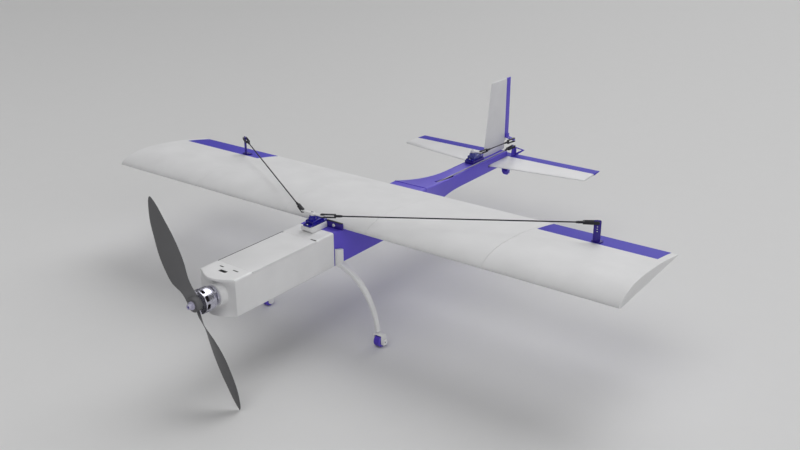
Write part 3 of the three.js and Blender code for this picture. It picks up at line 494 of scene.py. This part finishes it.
def boom():
    stations = [BOOM_START + BOOM_TAPER * i / 36 for i in range(37)] + [520, 560, 600, BOOM_END - 0.3]
    first = [(x * 0.992, y, z * 0.995 + 0.12) for x, y, z in boom_outline(BOOM_START)]
    last = [(x * 0.98, y, 23.5 + (z - 23.5) * 0.98) for x, y, z in boom_outline(BOOM_END)]
    outer = loft([first] + [boom_outline(max(y, BOOM_START + 0.3)) for y in stations] + [last])
    inner = loft([boom_outline(y, 1.8) for y in [BOOM_START - 1] + stations[1:-1] + [BOOM_END - 3]])
    bm = combine(outer, inner)
    bm = combine(bm, block(8, 13.1, 420, 467, 30, 50, 0, 2.4))
    bm = combine(bm, block(-20, 20, 565.7, 630, 21.5, 25.5, 0, 0.1))
    bm = combine(bm, block(-7.4, 5.4, 534.8, 558.2, 30, 42, 0, 0.3))
    for x in (-10.6, 10.6):
        bm = combine(bm, block(x - 0.7, x + 0.7, 500, 618, 33.7, 37, 0, 0.5))
    piece("boom_shell", bm, "airframe", "purple_plastic", ("rear_fuselage",))


nose_and_body()
hatch()
centre_body()
boom()

# ---- wing ----------------------------------------------------------------------------------

LEAD, CHORD, WING_Z = 183.0, 169.7, 49.3
HALF_SPAN, SEAMS = 400.0, (67.0, 233.0)
SEAM_GAP = 0.12
BAY = (237.0, 391.4, 307.3)      # aileron opening: inner x, outer x, front y
HINGE = (309.9, 54.8)


def aerofoil(t):
    """Heights of the upper and lower surface at the fraction t of the chord."""
    camber = 0.035 / 0.09 * (0.6 * t - t * t) if t < 0.3 else 0.035 / 0.49 * (0.4 + 0.6 * t - t * t)
    half = 0.475 * (0.2969 * math.sqrt(t) - 0.126 * t - 0.3516 * t ** 2 + 0.2843 * t ** 3 - 0.1015 * t ** 4)
    return WING_Z + CHORD * (camber + half) - 0.9 * t, WING_Z + CHORD * (camber - half) - 0.9 * t


def wing_ring(x, cut=None, shrink=0.0, n=44):
    upper, lower = [], []
    for i in range(n + 1):
        t = (1 - math.cos(math.pi * i / n)) / 2
        y = LEAD + CHORD * t
        if cut and y > cut:
            y = cut
            t = (cut - LEAD) / CHORD
        high, low = aerofoil(t)
        squeeze = min(shrink, (high - low) * 0.3)
        y += shrink * (1 - 2 * (y - LEAD) / CHORD)
        upper.append((x, y, high - squeeze))
        lower.append((x, y, low + squeeze))
    return upper[::-1] + lower[1:]


def wing_panel(x0, x1, bay=False):
    e = 0.25
    rings = [wing_ring(x0, shrink=e), wing_ring(x0 + e)]
    if bay:
        rings += [wing_ring(BAY[0]), wing_ring(BAY[0], BAY[2]), wing_ring(BAY[1], BAY[2]), wing_ring(BAY[1])]
    rings += [wing_ring(x1 - e), wing_ring(x1, shrink=e)]
    return loft(rings)


def wing():
    for name, node, x0, x1 in (("wing_middle", "wing_centre", -SEAMS[0], SEAMS[0]),
                               ("wing_inboard_left", "wing_inner_left", SEAMS[0], SEAMS[1]),
                               ("wing_inboard_right", "wing_inner_right", -SEAMS[1], -SEAMS[0])):
        panel = wing_panel(x0 + SEAM_GAP, x1 - SEAM_GAP)
        piece(name, panel, "airframe", "white_plastic", (node,), "wing_look", 40)
    for word, flip in (("left", False), ("right", True)):
        panel = wing_panel(SEAMS[1] + SEAM_GAP, HALF_SPAN, True)
        panel = mirror_x(panel) if flip else panel
        piece(f"wing_outboard_{word}", panel, "airframe", "white_plastic", (f"wing_outer_{word}",),
              "wing_look", 40)


def aileron_outline():
    y_h, z_h = HINGE
    nose = 2.4
    first = aerofoil((y_h - LEAD) / CHORD)
    front = []
    for k in range(13):
        a = rad(90 + 114 * k / 12)
        front.append((y_h + nose * math.cos(a), min(first[0], z_h + nose * math.sin(a))))
    last = front[-1]
    heel_y = last[0] + (last[1] - first[1]) * math.tan(rad(24))
    top, bottom = [], []
    for i in range(25):
        y = y_h + (LEAD + CHORD - y_h) * i / 24
        high, low = aerofoil(min(1, (y - LEAD) / CHORD))
        top.append((y, high - 0.05))
        if y > heel_y:
            bottom.append((y, low + 0.05))
    return top[::-1] + front[1:] + [(heel_y, first[1] + 0.05)] + bottom


def ailerons():
    for word, side in (("left", 1), ("right", -1)):
        bm = prism(aileron_outline(), BAY[0] + 0.35, BAY[1] - 0.35, "x", 0.2)
        bm = bm if side > 0 else mirror_x(bm)
        piece(f"aileron_skin_{word}", bm, f"aileron_panel_{word}", "purple_plastic", (f"aileron_{word}",),
              "purple_film")


wing()
ailerons()

# ---- motor and propeller -------------------------------------------------------------------

PROP_Y, PROP_R = -34.9, 128.0
PROP_PITCH, PROP_REST = 114, 26.93
BELL_FRONT, BELL_REAR, BELL_R = -30.5, -17.4, 14.25
WINDOWS, TEETH, MOTOR_SCREWS = 9, 12, 4


def motor():
    c = (0, 0, HUB_Z)
    y0, y1, r = BELL_FRONT, BELL_REAR, BELL_R
    bell = lathe([(1.7, y0 + 0.1), (8.2, y0 + 0.1), (8.8, y0 + 0.5), (12, y0 + 0.5), (13.2, y0),
                  (r - 0.4, y0 + 0.1), (r, y0 + 0.6), (r, y1 - 0.5), (r - 0.4, y1), (r - 1.4, y1),
                  (r - 1.4, y0 + 2.4), (1.7, y0 + 2.4), (1.7, y0 + 0.1)], c, (0, 1, 0), 108)
    for k in range(WINDOWS):
        cutter = prism(rounded_outline(-3.3, 3.3, y0 + 1.0, y0 + 5.6, 1.2, 4), r - 6, r + 3, "z")
        turn = Matrix.Translation(c) @ Matrix.Rotation(rad(360 / WINDOWS * (k + 0.5)), 4, "Y")
        bell = combine(bell, moved(cutter, turn))
    piece("motor_can", bell, "prop_drive", "aluminium", ("motor_bell",))
    flange = -8.6
    ring = y1 + 0.4
    base = lathe([(4, y0 + 3.5), (4, ring), (13.2, ring), (13.8, ring + 0.5), (13.8, ring + 2),
                  (13.3, ring + 2.4), (6.5, ring + 2.4), (6.5, flange - 2.6), (11.6, flange - 2.6),
                  (12, flange - 2.2), (12, flange), (1.65, flange), (1.65, y0 + 3.5), (4, y0 + 3.5)],
                 c, (0, 1, 0), 72)
    piece("motor_mount_body", base, "airframe", "aluminium", ("motor_base",))
    for k in range(MOTOR_SCREWS):
        a = rad(45 + 360 / MOTOR_SCREWS * k)
        screw(f"motor_screw_{k}", (9.3 * math.cos(a), flange - 2.5, HUB_Z + 9.3 * math.sin(a)), (0, -1, 0),
              "airframe", 1.7, 1.2)
    front, rear = y0 + 4, y1 - 0.5
    parts = [lathe([(4.2, front), (6.5, front), (6.5, rear), (4.2, rear), (4.2, front)], c, (0, 1, 0), 36)]
    for k in range(TEETH):
        turn = Matrix.Translation(c) @ Matrix.Rotation(rad(360 / TEETH * k), 4, "Y")
        coil = block(-1.9, 1.9, front + 0.4, rear - 0.4, 6.2, 10.2, 0.5, 1.2, "z")
        shoe = block(-2.6, 2.6, front + 0.8, rear - 0.8, 10.4, 11.7, 0.2, 0.5, "z")
        parts += [moved(coil, turn), moved(shoe, turn)]
    piece("motor_coils", merged(*parts), "airframe", "winding", ("motor_stator",))
    piece("motor_axle", rod((0, -41, HUB_Z), (0, -1.2, HUB_Z), 1.58), "prop_drive", "steel", ("motor_shaft",))


# blade outline: radius, leading edge offset, trailing edge offset
STATIONS = [(0, 6.3, -6.3), (7, 6.4, -6.0), (18, 9, -4.2), (30, 15.5, -4.2), (48, 19.2, -7.3),
            (66, 20.2, -8.3), (84, 18, -7.6), (101, 15.2, -5.6), (112, 11.5, -4.4), (121, 7.4, -2.6),
            (126, 4.4, -0.9), (128, 1.6, 0.2)]


def station(r):
    """Leading and trailing edge offsets at radius r, smoothed between the listed stations."""
    k = max(i for i in range(len(STATIONS) - 1) if STATIONS[i][0] <= r)
    p0, p1, p2 = STATIONS[max(0, k - 1)], STATIONS[k], STATIONS[k + 1]
    p3 = STATIONS[min(len(STATIONS) - 1, k + 2)]
    t = (r - p1[0]) / (p2[0] - p1[0])
    found = []
    for i in (1, 2):
        m1 = (p2[i] - p0[i]) / max(1, p2[0] - p0[0]) * (p2[0] - p1[0])
        m2 = (p3[i] - p1[i]) / max(1, p3[0] - p1[0]) * (p2[0] - p1[0])
        found.append((2 * t ** 3 - 3 * t ** 2 + 1) * p1[i] + (t ** 3 - 2 * t ** 2 + t) * m1
                     + (-2 * t ** 3 + 3 * t ** 2) * p2[i] + (t ** 3 - t ** 2) * m2)
    return found


def blade_ring(r, n=14):
    lead, trail = station(r)
    pitch = math.atan(PROP_PITCH / (2 * math.pi * max(r, 14)))
    root = max(0, 1 - r / 20)
    thick = 2.9 - 1.7 * r / PROP_R + 3.6 * root
    points = []
    for face in (1, -1):
        for i in range(n + 1 if face > 0 else n - 1):
            u = i / n if face > 0 else 1 - (i + 1) / n
            u = (1 - math.cos(math.pi * u)) / 2
            curve = math.sin(math.pi * u ** 0.75) ** 0.8
            h = (0.82 * curve if face > 0 else -0.25 * curve - root * 0.5 * curve) * thick
            along = lead - (lead - trail) * u
            points.append((-along * math.cos(pitch) - h * math.sin(pitch),
                           -along * math.sin(pitch) - h * math.cos(pitch), r))
    return points


def propeller():
    radii = [5, 8, 11, 15, 19, 24, 30, 37, 44, 52, 60, 68, 76, 84, 92, 100, 107, 113, 118, 122, 125, 127, 128]
    blade = loft([blade_ring(r) for r in radii])
    turn = Matrix.Translation((0, PROP_Y, HUB_Z)) @ Matrix.Rotation(rad(-PROP_REST), 4, "Y")
    other = moved(blade.copy(), Matrix.Rotation(math.pi, 4, "Y"))
    hub = lathe([(1.7, -4.2), (8.0, -4.2), (8.8, -3.4), (8.8, 3.3), (8.0, 4), (1.7, 4), (1.7, -4.2)],
                (0, 0, 0), (0, 1, 0), 60)
    whole = moved(merged(hub, blade, other), turn)
    piece("propeller_blades", whole, "prop_drive", "dark_grey_plastic", ("propeller",), limit=45)
    nut = lathe([(1.5, -44.6), (2.2, -45.5), (2.8, -45.5), (3.2, -45.0), (3.5, -41.6), (4.6, -41.4),
                 (4.9, -41.0), (4.9, -39.3), (1.7, -39.3), (1.5, -44.6)], (0, 0, HUB_Z), (0, 1, 0), 48)
    piece("propeller_nut", nut, "prop_drive", "aluminium", ("prop_nut",), "nut_look")
    piece("axle_end", rod((0, -45.2, HUB_Z), (0, -39.2, HUB_Z), 1.4), "prop_drive", "steel", (), "nut_core")


motor()
propeller()

# ---- servos, arms and linkages -------------------------------------------------------------


AILERON_SERVO_Y, AILERON_SERVO_TOP = 167, 60
ARM = (0, 162.7, 68.4)
REACH = 16.3
TAIL_SERVO_X, TAIL_SERVO_Y, TAIL_SERVO_TOP = -1, 546.5, 45.6
TAIL_ARM = (TAIL_SERVO_X, 541, 53)
TAIL_REACH = 14.5
ELEVATOR_ARM = (8.5, 388, 35.0)
HORNS = {"left": (313.5, 312.2, 81.5), "right": (-266, 312.2, 81.5)}
RUDDER_PIVOT = (20.5, 631.5, 53)
ELEVATOR_PIVOT = (18.5, 634.5, 40.5)
CASE_HALF_WIDTH, CASE_HALF_LENGTH, TAB_HALF_LENGTH, TAB_DROP, TAB_HOLE = 6.1, 11.4, 16.15, 4, 13.9
ROD_START = 18      # where the wire begins, measured from each pivot


def servo(name, x, y, top, hub_y, arm_z, hides, look=None):
    """Micro servo: case in three layers, screw tabs, gear boss, spline and the stub of its lead."""
    w, half = CASE_HALF_WIDTH, CASE_HALF_LENGTH
    tab = top - TAB_DROP
    case = [block(x - w, x + w, y - half, y + half, top - 22.5, top - 17.6, 0.4, 0.8),
            block(x - w, x + w, y - half, y + half, top - 17.45, tab - 2.4, 0.3, 0.8),
            block(x - w, x + w, y - half, y + half, tab - 0.1, top, 0.5, 1.0)]
    tabs = block(x - w, x + w, y - TAB_HALF_LENGTH, y + TAB_HALF_LENGTH, tab - 2.2, tab, 0.3, 0.9)
    for end in (-TAB_HOLE, TAB_HOLE):
        tabs = combine(tabs, rod((x, y + end, tab - 4), (x, y + end, tab + 2), 1.0, sides=16))
    boss = lathe([(0, top - 0.5), (5.2, top - 0.5), (5.2, top + 2.6), (4.9, top + 2.9), (4.0, top + 2.9),
                  (4.0, arm_z - 3.4), (3.7, arm_z - 3.1), (0, arm_z - 3.1)],
                 (x, hub_y, 0), (0, 0, 1), 48)
    small = lathe([(0, top - 0.5), (2.7, top - 0.5), (2.7, top + 2.6), (2.4, top + 2.9), (0, top + 2.9)],
                  (x, hub_y + 6.5, 0), (0, 0, 1), 32)
    shell = merged(*case[:2], tabs)
    spline = lathe([(0, arm_z - 3), (2.3, arm_z - 3), (2.3, arm_z - 0.6), (0, arm_z - 0.6)],
                   (x, hub_y, 0), (0, 0, 1), 40)
    lead = rod((x, y + half - 3, top - 21), (x, y + half + 2.2, top - 21), 1.6)
    piece(f"{name}_case", shell, "airframe", "clear_blue_plastic", hides)
    piece(f"{name}_cover", merged(case[2], boss, small), "airframe", "clear_blue_plastic", (), look)
    piece(f"{name}_spline", spline, "airframe", "white_plastic")
    piece(f"{name}_lead", lead, "airframe", "black_plastic")


def tapered(reach, hub, tip, steps=14):
    """Outline of an arm: a wide round end at the origin, tapering to a small round end at reach."""
    slope = math.asin((hub - tip) / reach)
    points = []
    for k in range(steps + 1):
        a = math.pi / 2 - slope + (math.pi + 2 * slope) * k / steps
        points.append((hub * math.cos(a), hub * math.sin(a)))
    for k in range(steps + 1):
        a = -math.pi / 2 + slope + (math.pi - 2 * slope) * k / steps
        points.append((reach + tip * math.cos(a), tip * math.sin(a)))
    return points


def servo_arm(name, body, hide, reach, place, double=False):
    blade = prism(tapered(reach, 3.1, 2.2), -0.8, 0.8, "z", 0.25)
    if double:
        blade = combine(blade, moved(prism(tapered(reach, 3.1, 2.2), -0.8, 0.8, "z", 0.25),
                                     Matrix.Rotation(math.pi, 4, "Z")), "UNION")
    hub = lathe([(1.1, -2.4), (3.2, -2.4), (3.4, -2.1), (3.4, 0.9), (3.1, 1.2), (1.1, 1.2), (1.1, -2.4)],
                (0, 0, 0), (0, 0, 1), 48)
    arm = combine(blade, hub, "UNION")
    arm = combine(arm, rod((0, 0, -3), (0, 0, 3), 1.1, sides=20))
    for side in ((1, -1) if double else (1,)):
        for k, r in ((1, 0.85), (0.79, 0.5), (0.6, 0.5), (0.41, 0.5)):
            if double or k > 0.5:
                arm = combine(arm, rod((side * reach * k, 0, -2), (side * reach * k, 0, 2), r, sides=16))
    piece(name, moved(arm, place), body, "white_plastic", (hide,))
    head = lathe([(0, -0.4), (1.9, -0.4), (1.9, 0.5), (1.5, 1.0), (0.7, 1.1), (0.5, 0.4), (0, 0.4)],
                 (0, 0, 0.8), (0, 0, 1), 24)
    piece(name + "_screw", moved(head, place), body, "steel")


def clevis(gap, pinned):
    """Forked end pointing along +X from its pivot at the origin: two tines, bridge, tapered barrel."""
    tine = [(-2.3, -1.2), (-1.5, -2.0), (0, -2.3), (3, -2.0), (16.2, -1.7), (16.2, 1.7), (3, 2.0), (0, 2.3),
            (-1.5, 2.0), (-2.3, 1.2)]
    parts = [prism(tine, gap, gap + 1.1, "z", 0.25), prism(tine, -gap - 1.1, -gap, "z", 0.25),
             block(15.2, 17.4, -1.75, 1.75, -gap - 1.1, gap + 1.1, 0.3, 0.5)]
    barrel = lathe([(0, 17), (1.6, 17), (1.6, 22.5), (1.2, 25.5), (0, 25.5)], (0, 0, 0), (1, 0, 0), 24)
    if pinned:
        parts.append(rod((0, 0, -gap - 1.4), (0, 0, gap + 1.4), 0.75, sides=16))
    return merged(*parts, barrel)


def aimed(start, end, roll):
    """Places a clevis at start, pointing at end and rolled about its own length."""
    start, end = Vector(start), Vector(end)
    run = (end - start).normalized()
    yaw = math.atan2(run.y, run.x)
    pitch = -math.asin(run.z)
    return (Matrix.Translation(start) @ Matrix.Rotation(yaw, 4, "Z") @ Matrix.Rotation(pitch, 4, "Y")
            @ Matrix.Rotation(rad(roll), 4, "X"))


def linkage(name, body, start, end, near_roll, far_roll, look=None):
    """Pushrod: a pinned clevis at the servo arm, a wire, and a clevis that stands open round the horn."""
    near = moved(clevis(1.3, True), aimed(start, end, near_roll))
    far = moved(clevis(2.0, False), aimed(end, start, far_roll))
    run = (Vector(end) - Vector(start)).normalized()
    wire = rod(Vector(start) + run * ROD_START, Vector(end) - run * ROD_START, 0.85, sides=16)
    piece(f"{name}_clevises", merged(near, far), body, "black_plastic", (f"{name}_pushrod",))
    piece(f"{name}_rod", wire, body, "black_plastic", look=look)


servo("aileron_servo", ARM[0], AILERON_SERVO_Y, AILERON_SERVO_TOP, ARM[1], ARM[2], ("aileron_servo",))
servo("rudder_servo", TAIL_SERVO_X, TAIL_SERVO_Y, TAIL_SERVO_TOP, TAIL_ARM[1], TAIL_ARM[2], ("rudder_servo",),
      "tail_servo_look")
servo_arm("aileron_lever", "aileron_arm", "aileron_servo_arm", REACH, Matrix.Translation(ARM), True)
servo_arm("rudder_lever", "rudder_arm", "rudder_servo_arm", TAIL_REACH, Matrix.Translation(TAIL_ARM))
linkage("aileron_left", "aileron_rod_left", (REACH, ARM[1], ARM[2]), HORNS["left"], 0, 90)
linkage("aileron_right", "aileron_rod_right", (-REACH, ARM[1], ARM[2]), HORNS["right"], 0, 90)
linkage("rudder", "rudder_rod", (TAIL_SERVO_X + TAIL_REACH, TAIL_ARM[1], TAIL_ARM[2]), RUDDER_PIVOT, 0, 0)
linkage("elevator", "elevator_rod", ELEVATOR_ARM, ELEVATOR_PIVOT, 90, 90, "rod_metal")


def aileron_horns():
    for word, (x, y, z) in HORNS.items():
        arm_x = math.copysign(REACH, x)
        heading = math.atan2(y - ARM[1], x - arm_x)
        foot = aerofoil((y - LEAD) / CHORD)[0] + 0.6
        tall = z - foot
        plate = prism(rounded_outline(-4.4, 4.4, 0, tall + 3, 1.8, 5), -0.8, 0.8, "y", 0.25)
        for h in (tall - 11.5, tall - 8.5, tall - 5.5, tall):
            plate = combine(plate, rod((0, -2, h), (0, 2, h), 0.75, sides=16))
        plate = moved(plate, Matrix.Rotation(heading, 4, "Z"))
        base = moved(block(-6, 6, -2.2, 8.5, 0, 1.4, 0.3, 1.2), Matrix.Rotation(rad(-9), 4, "X"))
        horn = moved(combine(plate, base, "UNION"), Matrix.Translation((x, y, foot)))
        piece(f"aileron_lever_plate_{word}", horn, f"aileron_panel_{word}", "dark_purple_plastic",
              (f"aileron_horn_{word}",))


aileron_horns()

# ---- undercarriage -------------------------------------------------------------------------

WHEEL = (96.5, 172.4, -84.3)
TAIL_WHEEL = (0, 647, -9.3)


def bezier(p, t):
    s = 1 - t
    return Vector([s ** 3 * a + 3 * s * s * t * b + 3 * s * t * t * c + t ** 3 * d for a, b, c, d in zip(*p)])


def gear_leg():
    path = [Vector(p) for p in ((29.5, 0, 2), (58, 0, -5), (85, 0, -26), (WHEEL[0] - 2.5, 0, WHEEL[2] + 12))]
    rings = []
    for i in range(33):
        t = i / 32
        mid = bezier(path, t)
        along = (bezier(path, min(1, t + 0.01)) - bezier(path, max(0, t - 0.01))).normalized()
        width, depth, y = 6.0 - 1.6 * t, 8.6 - 2.4 * t, 178 - 5.6 * t
        rings.append([(mid.x - along.z * a, y + b, mid.z + along.x * a)
                      for a, b in rounded_outline(-width / 2, width / 2, -depth / 2, depth / 2, 1.1, 3)])
    side = [(169.8, 1.5), (181.4, -4.5), (181.4, 21.5), (169.8, 24.5)]
    rim = prism(side, HALF + 0.3, HALF + 5, "x", 0.5, 3)
    leg = combine(loft(rings), rim, "UNION")
    return combine(leg, block(0, HALF + 0.3, 160, 200, -20, 60, 0, 0.1))


def wheel(radius, width, bore, groove=0.5):
    """Profile of a small wheel: recessed faces, rounded shoulders, three grooves round the tread."""
    h = width / 2
    profile = [(bore, -h), (bore + 1.4, -h), (bore + 1.8, -h + 0.5), (radius - 2.6, -h + 0.5),
               (radius - 2.2, -h)]
    for k in range(6):
        a = rad(-90 + 18 * k)
        profile.append((radius - 1.8 + 1.8 * math.cos(a), -h + 1.8 + 1.8 * math.sin(a)))
    for at_h in (-h * 0.4, 0, h * 0.4):
        profile += [(radius, at_h - 0.35), (radius - groove, at_h - 0.15), (radius - groove, at_h + 0.15),
                    (radius, at_h + 0.35)]
    mirror = [(r, -q) for r, q in reversed(profile[:11])]
    return profile + mirror + [(bore, -h)]


def undercarriage():
    x, y, z = WHEEL
    inner, outer = x - 7.3, x + 7.3
    for word, side in (("left", 1), ("right", -1)):
        flip = (lambda bm: bm) if side > 0 else mirror_x
        leg = flip(gear_leg())
        piece(f"gear_strut_{word}", leg, "airframe", "white_plastic", (f"gear_leg_{word}",), limit=50)
        cheek = prism(rounded_outline(y - 4.5, y + 4.5, z - 4.5, z + 10.6, 4, 8), inner, outer, "x", 0.6, 3)
        cheek = combine(cheek, block(inner + 2, outer - 2, y - 9, y + 9, z - 9, z + 8.6, 0.2, 0.2))
        piece(f"wheel_bracket_{word}", flip(cheek), "airframe", "white_plastic", (f"wheel_fork_{word}",))
        tyre = lathe(wheel(7.5, 10, 1.65), (x, y, z), (1, 0, 0), 64)
        piece(f"roller_{word}", flip(tyre), f"main_wheel_{word}", "purple_plastic", (f"wheel_{word}",),
              "wheel_look")
        pin = lathe([(0, -8.2), (1.5, -8.2), (1.5, 7.6), (4.0, 7.6), (4.2, 7.8), (4.2, 8.7), (3.7, 9.2),
                     (1.0, 9.2), (0.8, 8.6), (0, 8.6)], (x, y, z), (1, 0, 0), 48)
        piece(f"wheel_pin_{word}", flip(pin), "airframe", "white_plastic", (f"wheel_axle_{word}",))
        # Black disc at the bottom of the pin's end hole: painted shade of the hole.
        hole_shade = rod((x + 8.5, y, z), (x + 8.75, y, z), 0.85, sides=20, edge=0.05)
        piece(f"wheel_pin_hole_shade_{word}", flip(hole_shade), "airframe", "black_plastic")
    tyre = lathe(wheel(5.5, 8, 1.15, 0.4), TAIL_WHEEL, (1, 0, 0), 56)
    piece("tail_roller", tyre, "rear_wheel", "purple_plastic", ("tail_wheel",), "wheel_look")


undercarriage()

# ---- tail ----------------------------------------------------------------------------------


FIN_LOW, FIN_HIGH, FIN_FRONT, FIN_REAR, FIN_SWEEP, FIN_THICK = 34.6, 150.8, 571.5, 634.5, 18.5, 5.0
STAB_HALF, STAB_FRONT, STAB_SWEEP, STAB_REAR, STAB_Z, STAB_HALF_THICK = 166, 566, 26, 626.1, 23.5, 1.7
STAB_MIDDLE = 609
ELEVATOR_HINGE, ELEVATOR_NOSE, ELEVATOR_REAR = 628.2, 1.5, 648
RUDDER_HINGE, RUDDER_NOSE, RUDDER_REAR = 637.0, 1.7, 648.5
RUDDER_LOW, RUDDER_HIGH = 52, 150.5


def fin_ring(z, front, grow=1.0):
    chord = FIN_REAR - front
    right = []
    for i in range(19):
        t = (1 - math.cos(math.pi * i / 18)) / 2
        if t < 0.06:
            h = 1.9 * math.sqrt(t)
        elif t < 0.4:
            h = 0.465 + 0.535 * math.sin(min(1, (t - 0.06) / 0.3) * math.pi / 2)
        else:
            h = 1 - 0.38 * ((t - 0.4) / 0.6) ** 1.5
        right.append((h * FIN_THICK / 2 * grow, front + chord * t, z))
    return right + [(-x, y, z) for x, y, z in reversed(right[1:])]


def fin():
    rings = [fin_ring(FIN_LOW + 115.6 * k / 11, FIN_FRONT + FIN_SWEEP * k / 11) for k in range(12)]
    rings.append(fin_ring(FIN_HIGH - 0.1, 590.3, 0.86))
    rings.append(fin_ring(FIN_HIGH, 591.0, 0.6))
    foot = block(-1.4, 1.4, 633.9, 639, 47.5, 50.9, 0.2, 0.3)
    skin = combine(loft(rings), foot, "UNION")
    skin = combine(skin, rod((0, RUDDER_HINGE, 34), (0, RUDDER_HINGE, 151), 0.85, sides=16))
    piece("fin_skin", skin, "airframe", "white_plastic", ("fin",), "thin_white")


def stabilizer_ring(x):
    front = STAB_FRONT + STAB_SWEEP * abs(x) / STAB_HALF
    h, z, rear = STAB_HALF_THICK, STAB_Z, STAB_REAR
    half = [(front, 0), (front + 0.25, 0.35), (front + 1, 0.7), (front + 3, 1.25), (front + 8, 1.66),
            (front + 12, h), (rear - 0.3, h), (rear, h - 0.3)]
    ring = [(x, y, z + q) for y, q in half] + [(x, y, z - q) for y, q in reversed(half[1:])]
    if abs(x) == STAB_HALF:
        ring = [(x, STAB_MIDDLE + (y - STAB_MIDDLE) * 0.985, STAB_Z + (z - STAB_Z) * 0.75)
                for x, y, z in ring]
    return ring


def stabilizer():
    xs = [-166, -165.5, -120, -60, 0, 60, 120, 165.5, 166]
    skin = loft([stabilizer_ring(x) for x in xs])
    piece("stabilizer_skin", skin, "airframe", "white_plastic", ("stabilizer",), "thin_white")


def round_nose(radius, start):
    """Nine points of a half circle, each 18 degrees on from the last, beginning 18 degrees past start."""
    turns = [rad(start + 18 * k) for k in range(1, 10)]
    return [(radius * math.cos(a), radius * math.sin(a)) for a in turns]


def elevator():
    y, z, nose = ELEVATOR_HINGE, STAB_Z, ELEVATOR_NOSE
    outline = [(ELEVATOR_REAR, z - 0.35), (ELEVATOR_REAR, z + 0.35), (y, z + nose)]
    outline += [(y + a, z + b) for a, b in round_nose(nose, 90)]
    outline.append((y, z - nose))
    skin = prism(outline, -STAB_HALF, STAB_HALF, "x", 0.25)
    piece("elevator_skin", skin, "elevator_panel", "purple_plastic", ("elevator",), "purple_film")


def rudder():
    y, nose = RUDDER_HINGE, RUDDER_NOSE
    outline = [(0.4, RUDDER_REAR), (-0.4, RUDDER_REAR), (-nose, y)]
    outline += [(a, y + b) for a, b in round_nose(nose, 180)]
    outline.append((nose, y))
    skin = prism(outline, RUDDER_LOW, RUDDER_HIGH, "z", 0.25)
    piece("rudder_skin", skin, "rudder_panel", "purple_plastic", ("rudder",))


fin()
stabilizer()
elevator()
rudder()

# ---- saddle plate, small parts taken from the CAD, screws ----------------------------------

PLATE_FRONT, PLATE_REAR = 180.6, 182.7


# The plate's dark purple is painted shade from the wing and servo above it.
plate = merged(block(6.9, 33, PLATE_FRONT, PLATE_REAR, 46.4, 55.3, 0.3, 0.9, "y"),
               block(-9, 6.9, PLATE_FRONT, PLATE_REAR, 46.4, 50.9, 0.3, 0.4, "y"))
piece("saddle_plate", plate, "airframe", "dark_purple_plastic", ("wing_saddle_plate",))
# Black strip along the plate's top edge: painted shade cast by the wing's leading edge onto the plate.
rim = block(7.4, 32.6, PLATE_FRONT - 0.2, PLATE_REAR + 0.2, 54.7, 55.7, 0.2, 0.4)
piece("saddle_plate_top_shade", rim, "airframe", "black_plastic")

for node, edge in (("aileron_servo_mount", 0.4), ("rudder_servo_mount", 0.4),
                   ("rudder_horn", 0.25), ("elevator_horn", 0.25), ("tail_wheel_fork", 0.5),
                   ("tail_wheel_axle", 0.2),
                   ("wing_spar", 0.3), ("battery", 1.2), ("speed_controller", 0.5), ("radio_receiver", 0.6),
                   ("aileron_hinge_wire_left", 0), ("aileron_hinge_wire_right", 0), ("rudder_hinge_wire", 0),
                   ("elevator_hinge_wire", 0), ("elevator_servo", 0.4), ("elevator_servo_arm", 0.2)):
    finished(node, edge)

screw("saddle_screw", (19, PLATE_FRONT, 50.6), (0, -1, 0), "airframe", 2.1, 1.4, "white_plastic")
SERVO_TABS = (("servo_screw", ARM[0], AILERON_SERVO_Y, AILERON_SERVO_TOP),
              ("tail_servo_screw", TAIL_SERVO_X, TAIL_SERVO_Y, TAIL_SERVO_TOP))
for side in (1, -1):
    for name, x, y, top in SERVO_TABS:
        screw(f"{name}_{side + 1}", (x, y + side * TAB_HOLE, top - TAB_DROP), (0, 0, 1), "airframe", 1.7, 1.0)


# ---- camera, floor and lights --------------------------------------------------------------

camera = bpy.data.objects.new("camera", bpy.data.cameras.new("camera"))
bpy.context.scene.collection.objects.link(camera)
CAMERA_DOWN, CAMERA_TURN = 22.065, 36.193
camera.data.lens = 41.31
camera.data.sensor_width = 36
camera.location = at(716.5, -631.9, 483.7)
camera.rotation_euler = (rad(90 - CAMERA_DOWN), 0, rad(CAMERA_TURN))
bpy.context.scene.camera = camera

floor_mesh = bpy.data.meshes.new("floor")
FLOOR = 9
corners = [(-FLOOR, -FLOOR, 0), (FLOOR, -FLOOR, 0), (FLOOR, FLOOR, 0), (-FLOOR, FLOOR, 0)]
floor_mesh.from_pydata(corners, [], [(0, 1, 2, 3)])
floor = bpy.data.objects.new("floor", floor_mesh)
bpy.context.scene.collection.objects.link(floor)
floor.location.z = cad_low.z - 0.0002
paper = plastic("floor_paper", srgb(220, 220, 220), roughness=0.6, grain=0.01, variation=0.004)
floor_mesh.materials.append(paper)


def area_light(name, place, target, size, power):
    data = bpy.data.lights.new(name, "AREA")
    data.shape = "DISK"
    data.size = size
    data.energy = power
    light = bpy.data.objects.new(name, data)
    bpy.context.scene.collection.objects.link(light)
    light.location = place
    light.rotation_euler = (Vector(target) - Vector(place)).to_track_quat("-Z", "Y").to_euler()


def sun_light(name, direction, angle, power):
    data = bpy.data.lights.new(name, "SUN")
    data.angle = rad(angle)
    data.energy = power
    light = bpy.data.objects.new(name, data)
    bpy.context.scene.collection.objects.link(light)
    light.rotation_euler = (-Vector(direction)).to_track_quat("-Z", "Y").to_euler()


sun_light("high_key", (0.36, 2.04, 3.0), 35, 0.42)
sun_light("broad_key", (-0.3, 3.6, 3.0), 60, 1.28)
sun_light("side_light", (3.0, -1.0, 0.7), 50, 0.76)
area_light("near_light", (0.2, -1.7, 3.3), (0.0, -0.3, 0), 3.0, 34)

world = bpy.data.worlds.new("studio")
world.use_nodes = True
background = world.node_tree.nodes["Background"]
background.inputs["Color"].default_value = (1, 1, 1, 1)
background.inputs["Strength"].default_value = 0.14
bpy.context.scene.world = world
bpy.context.scene.view_settings.view_transform = "Standard"
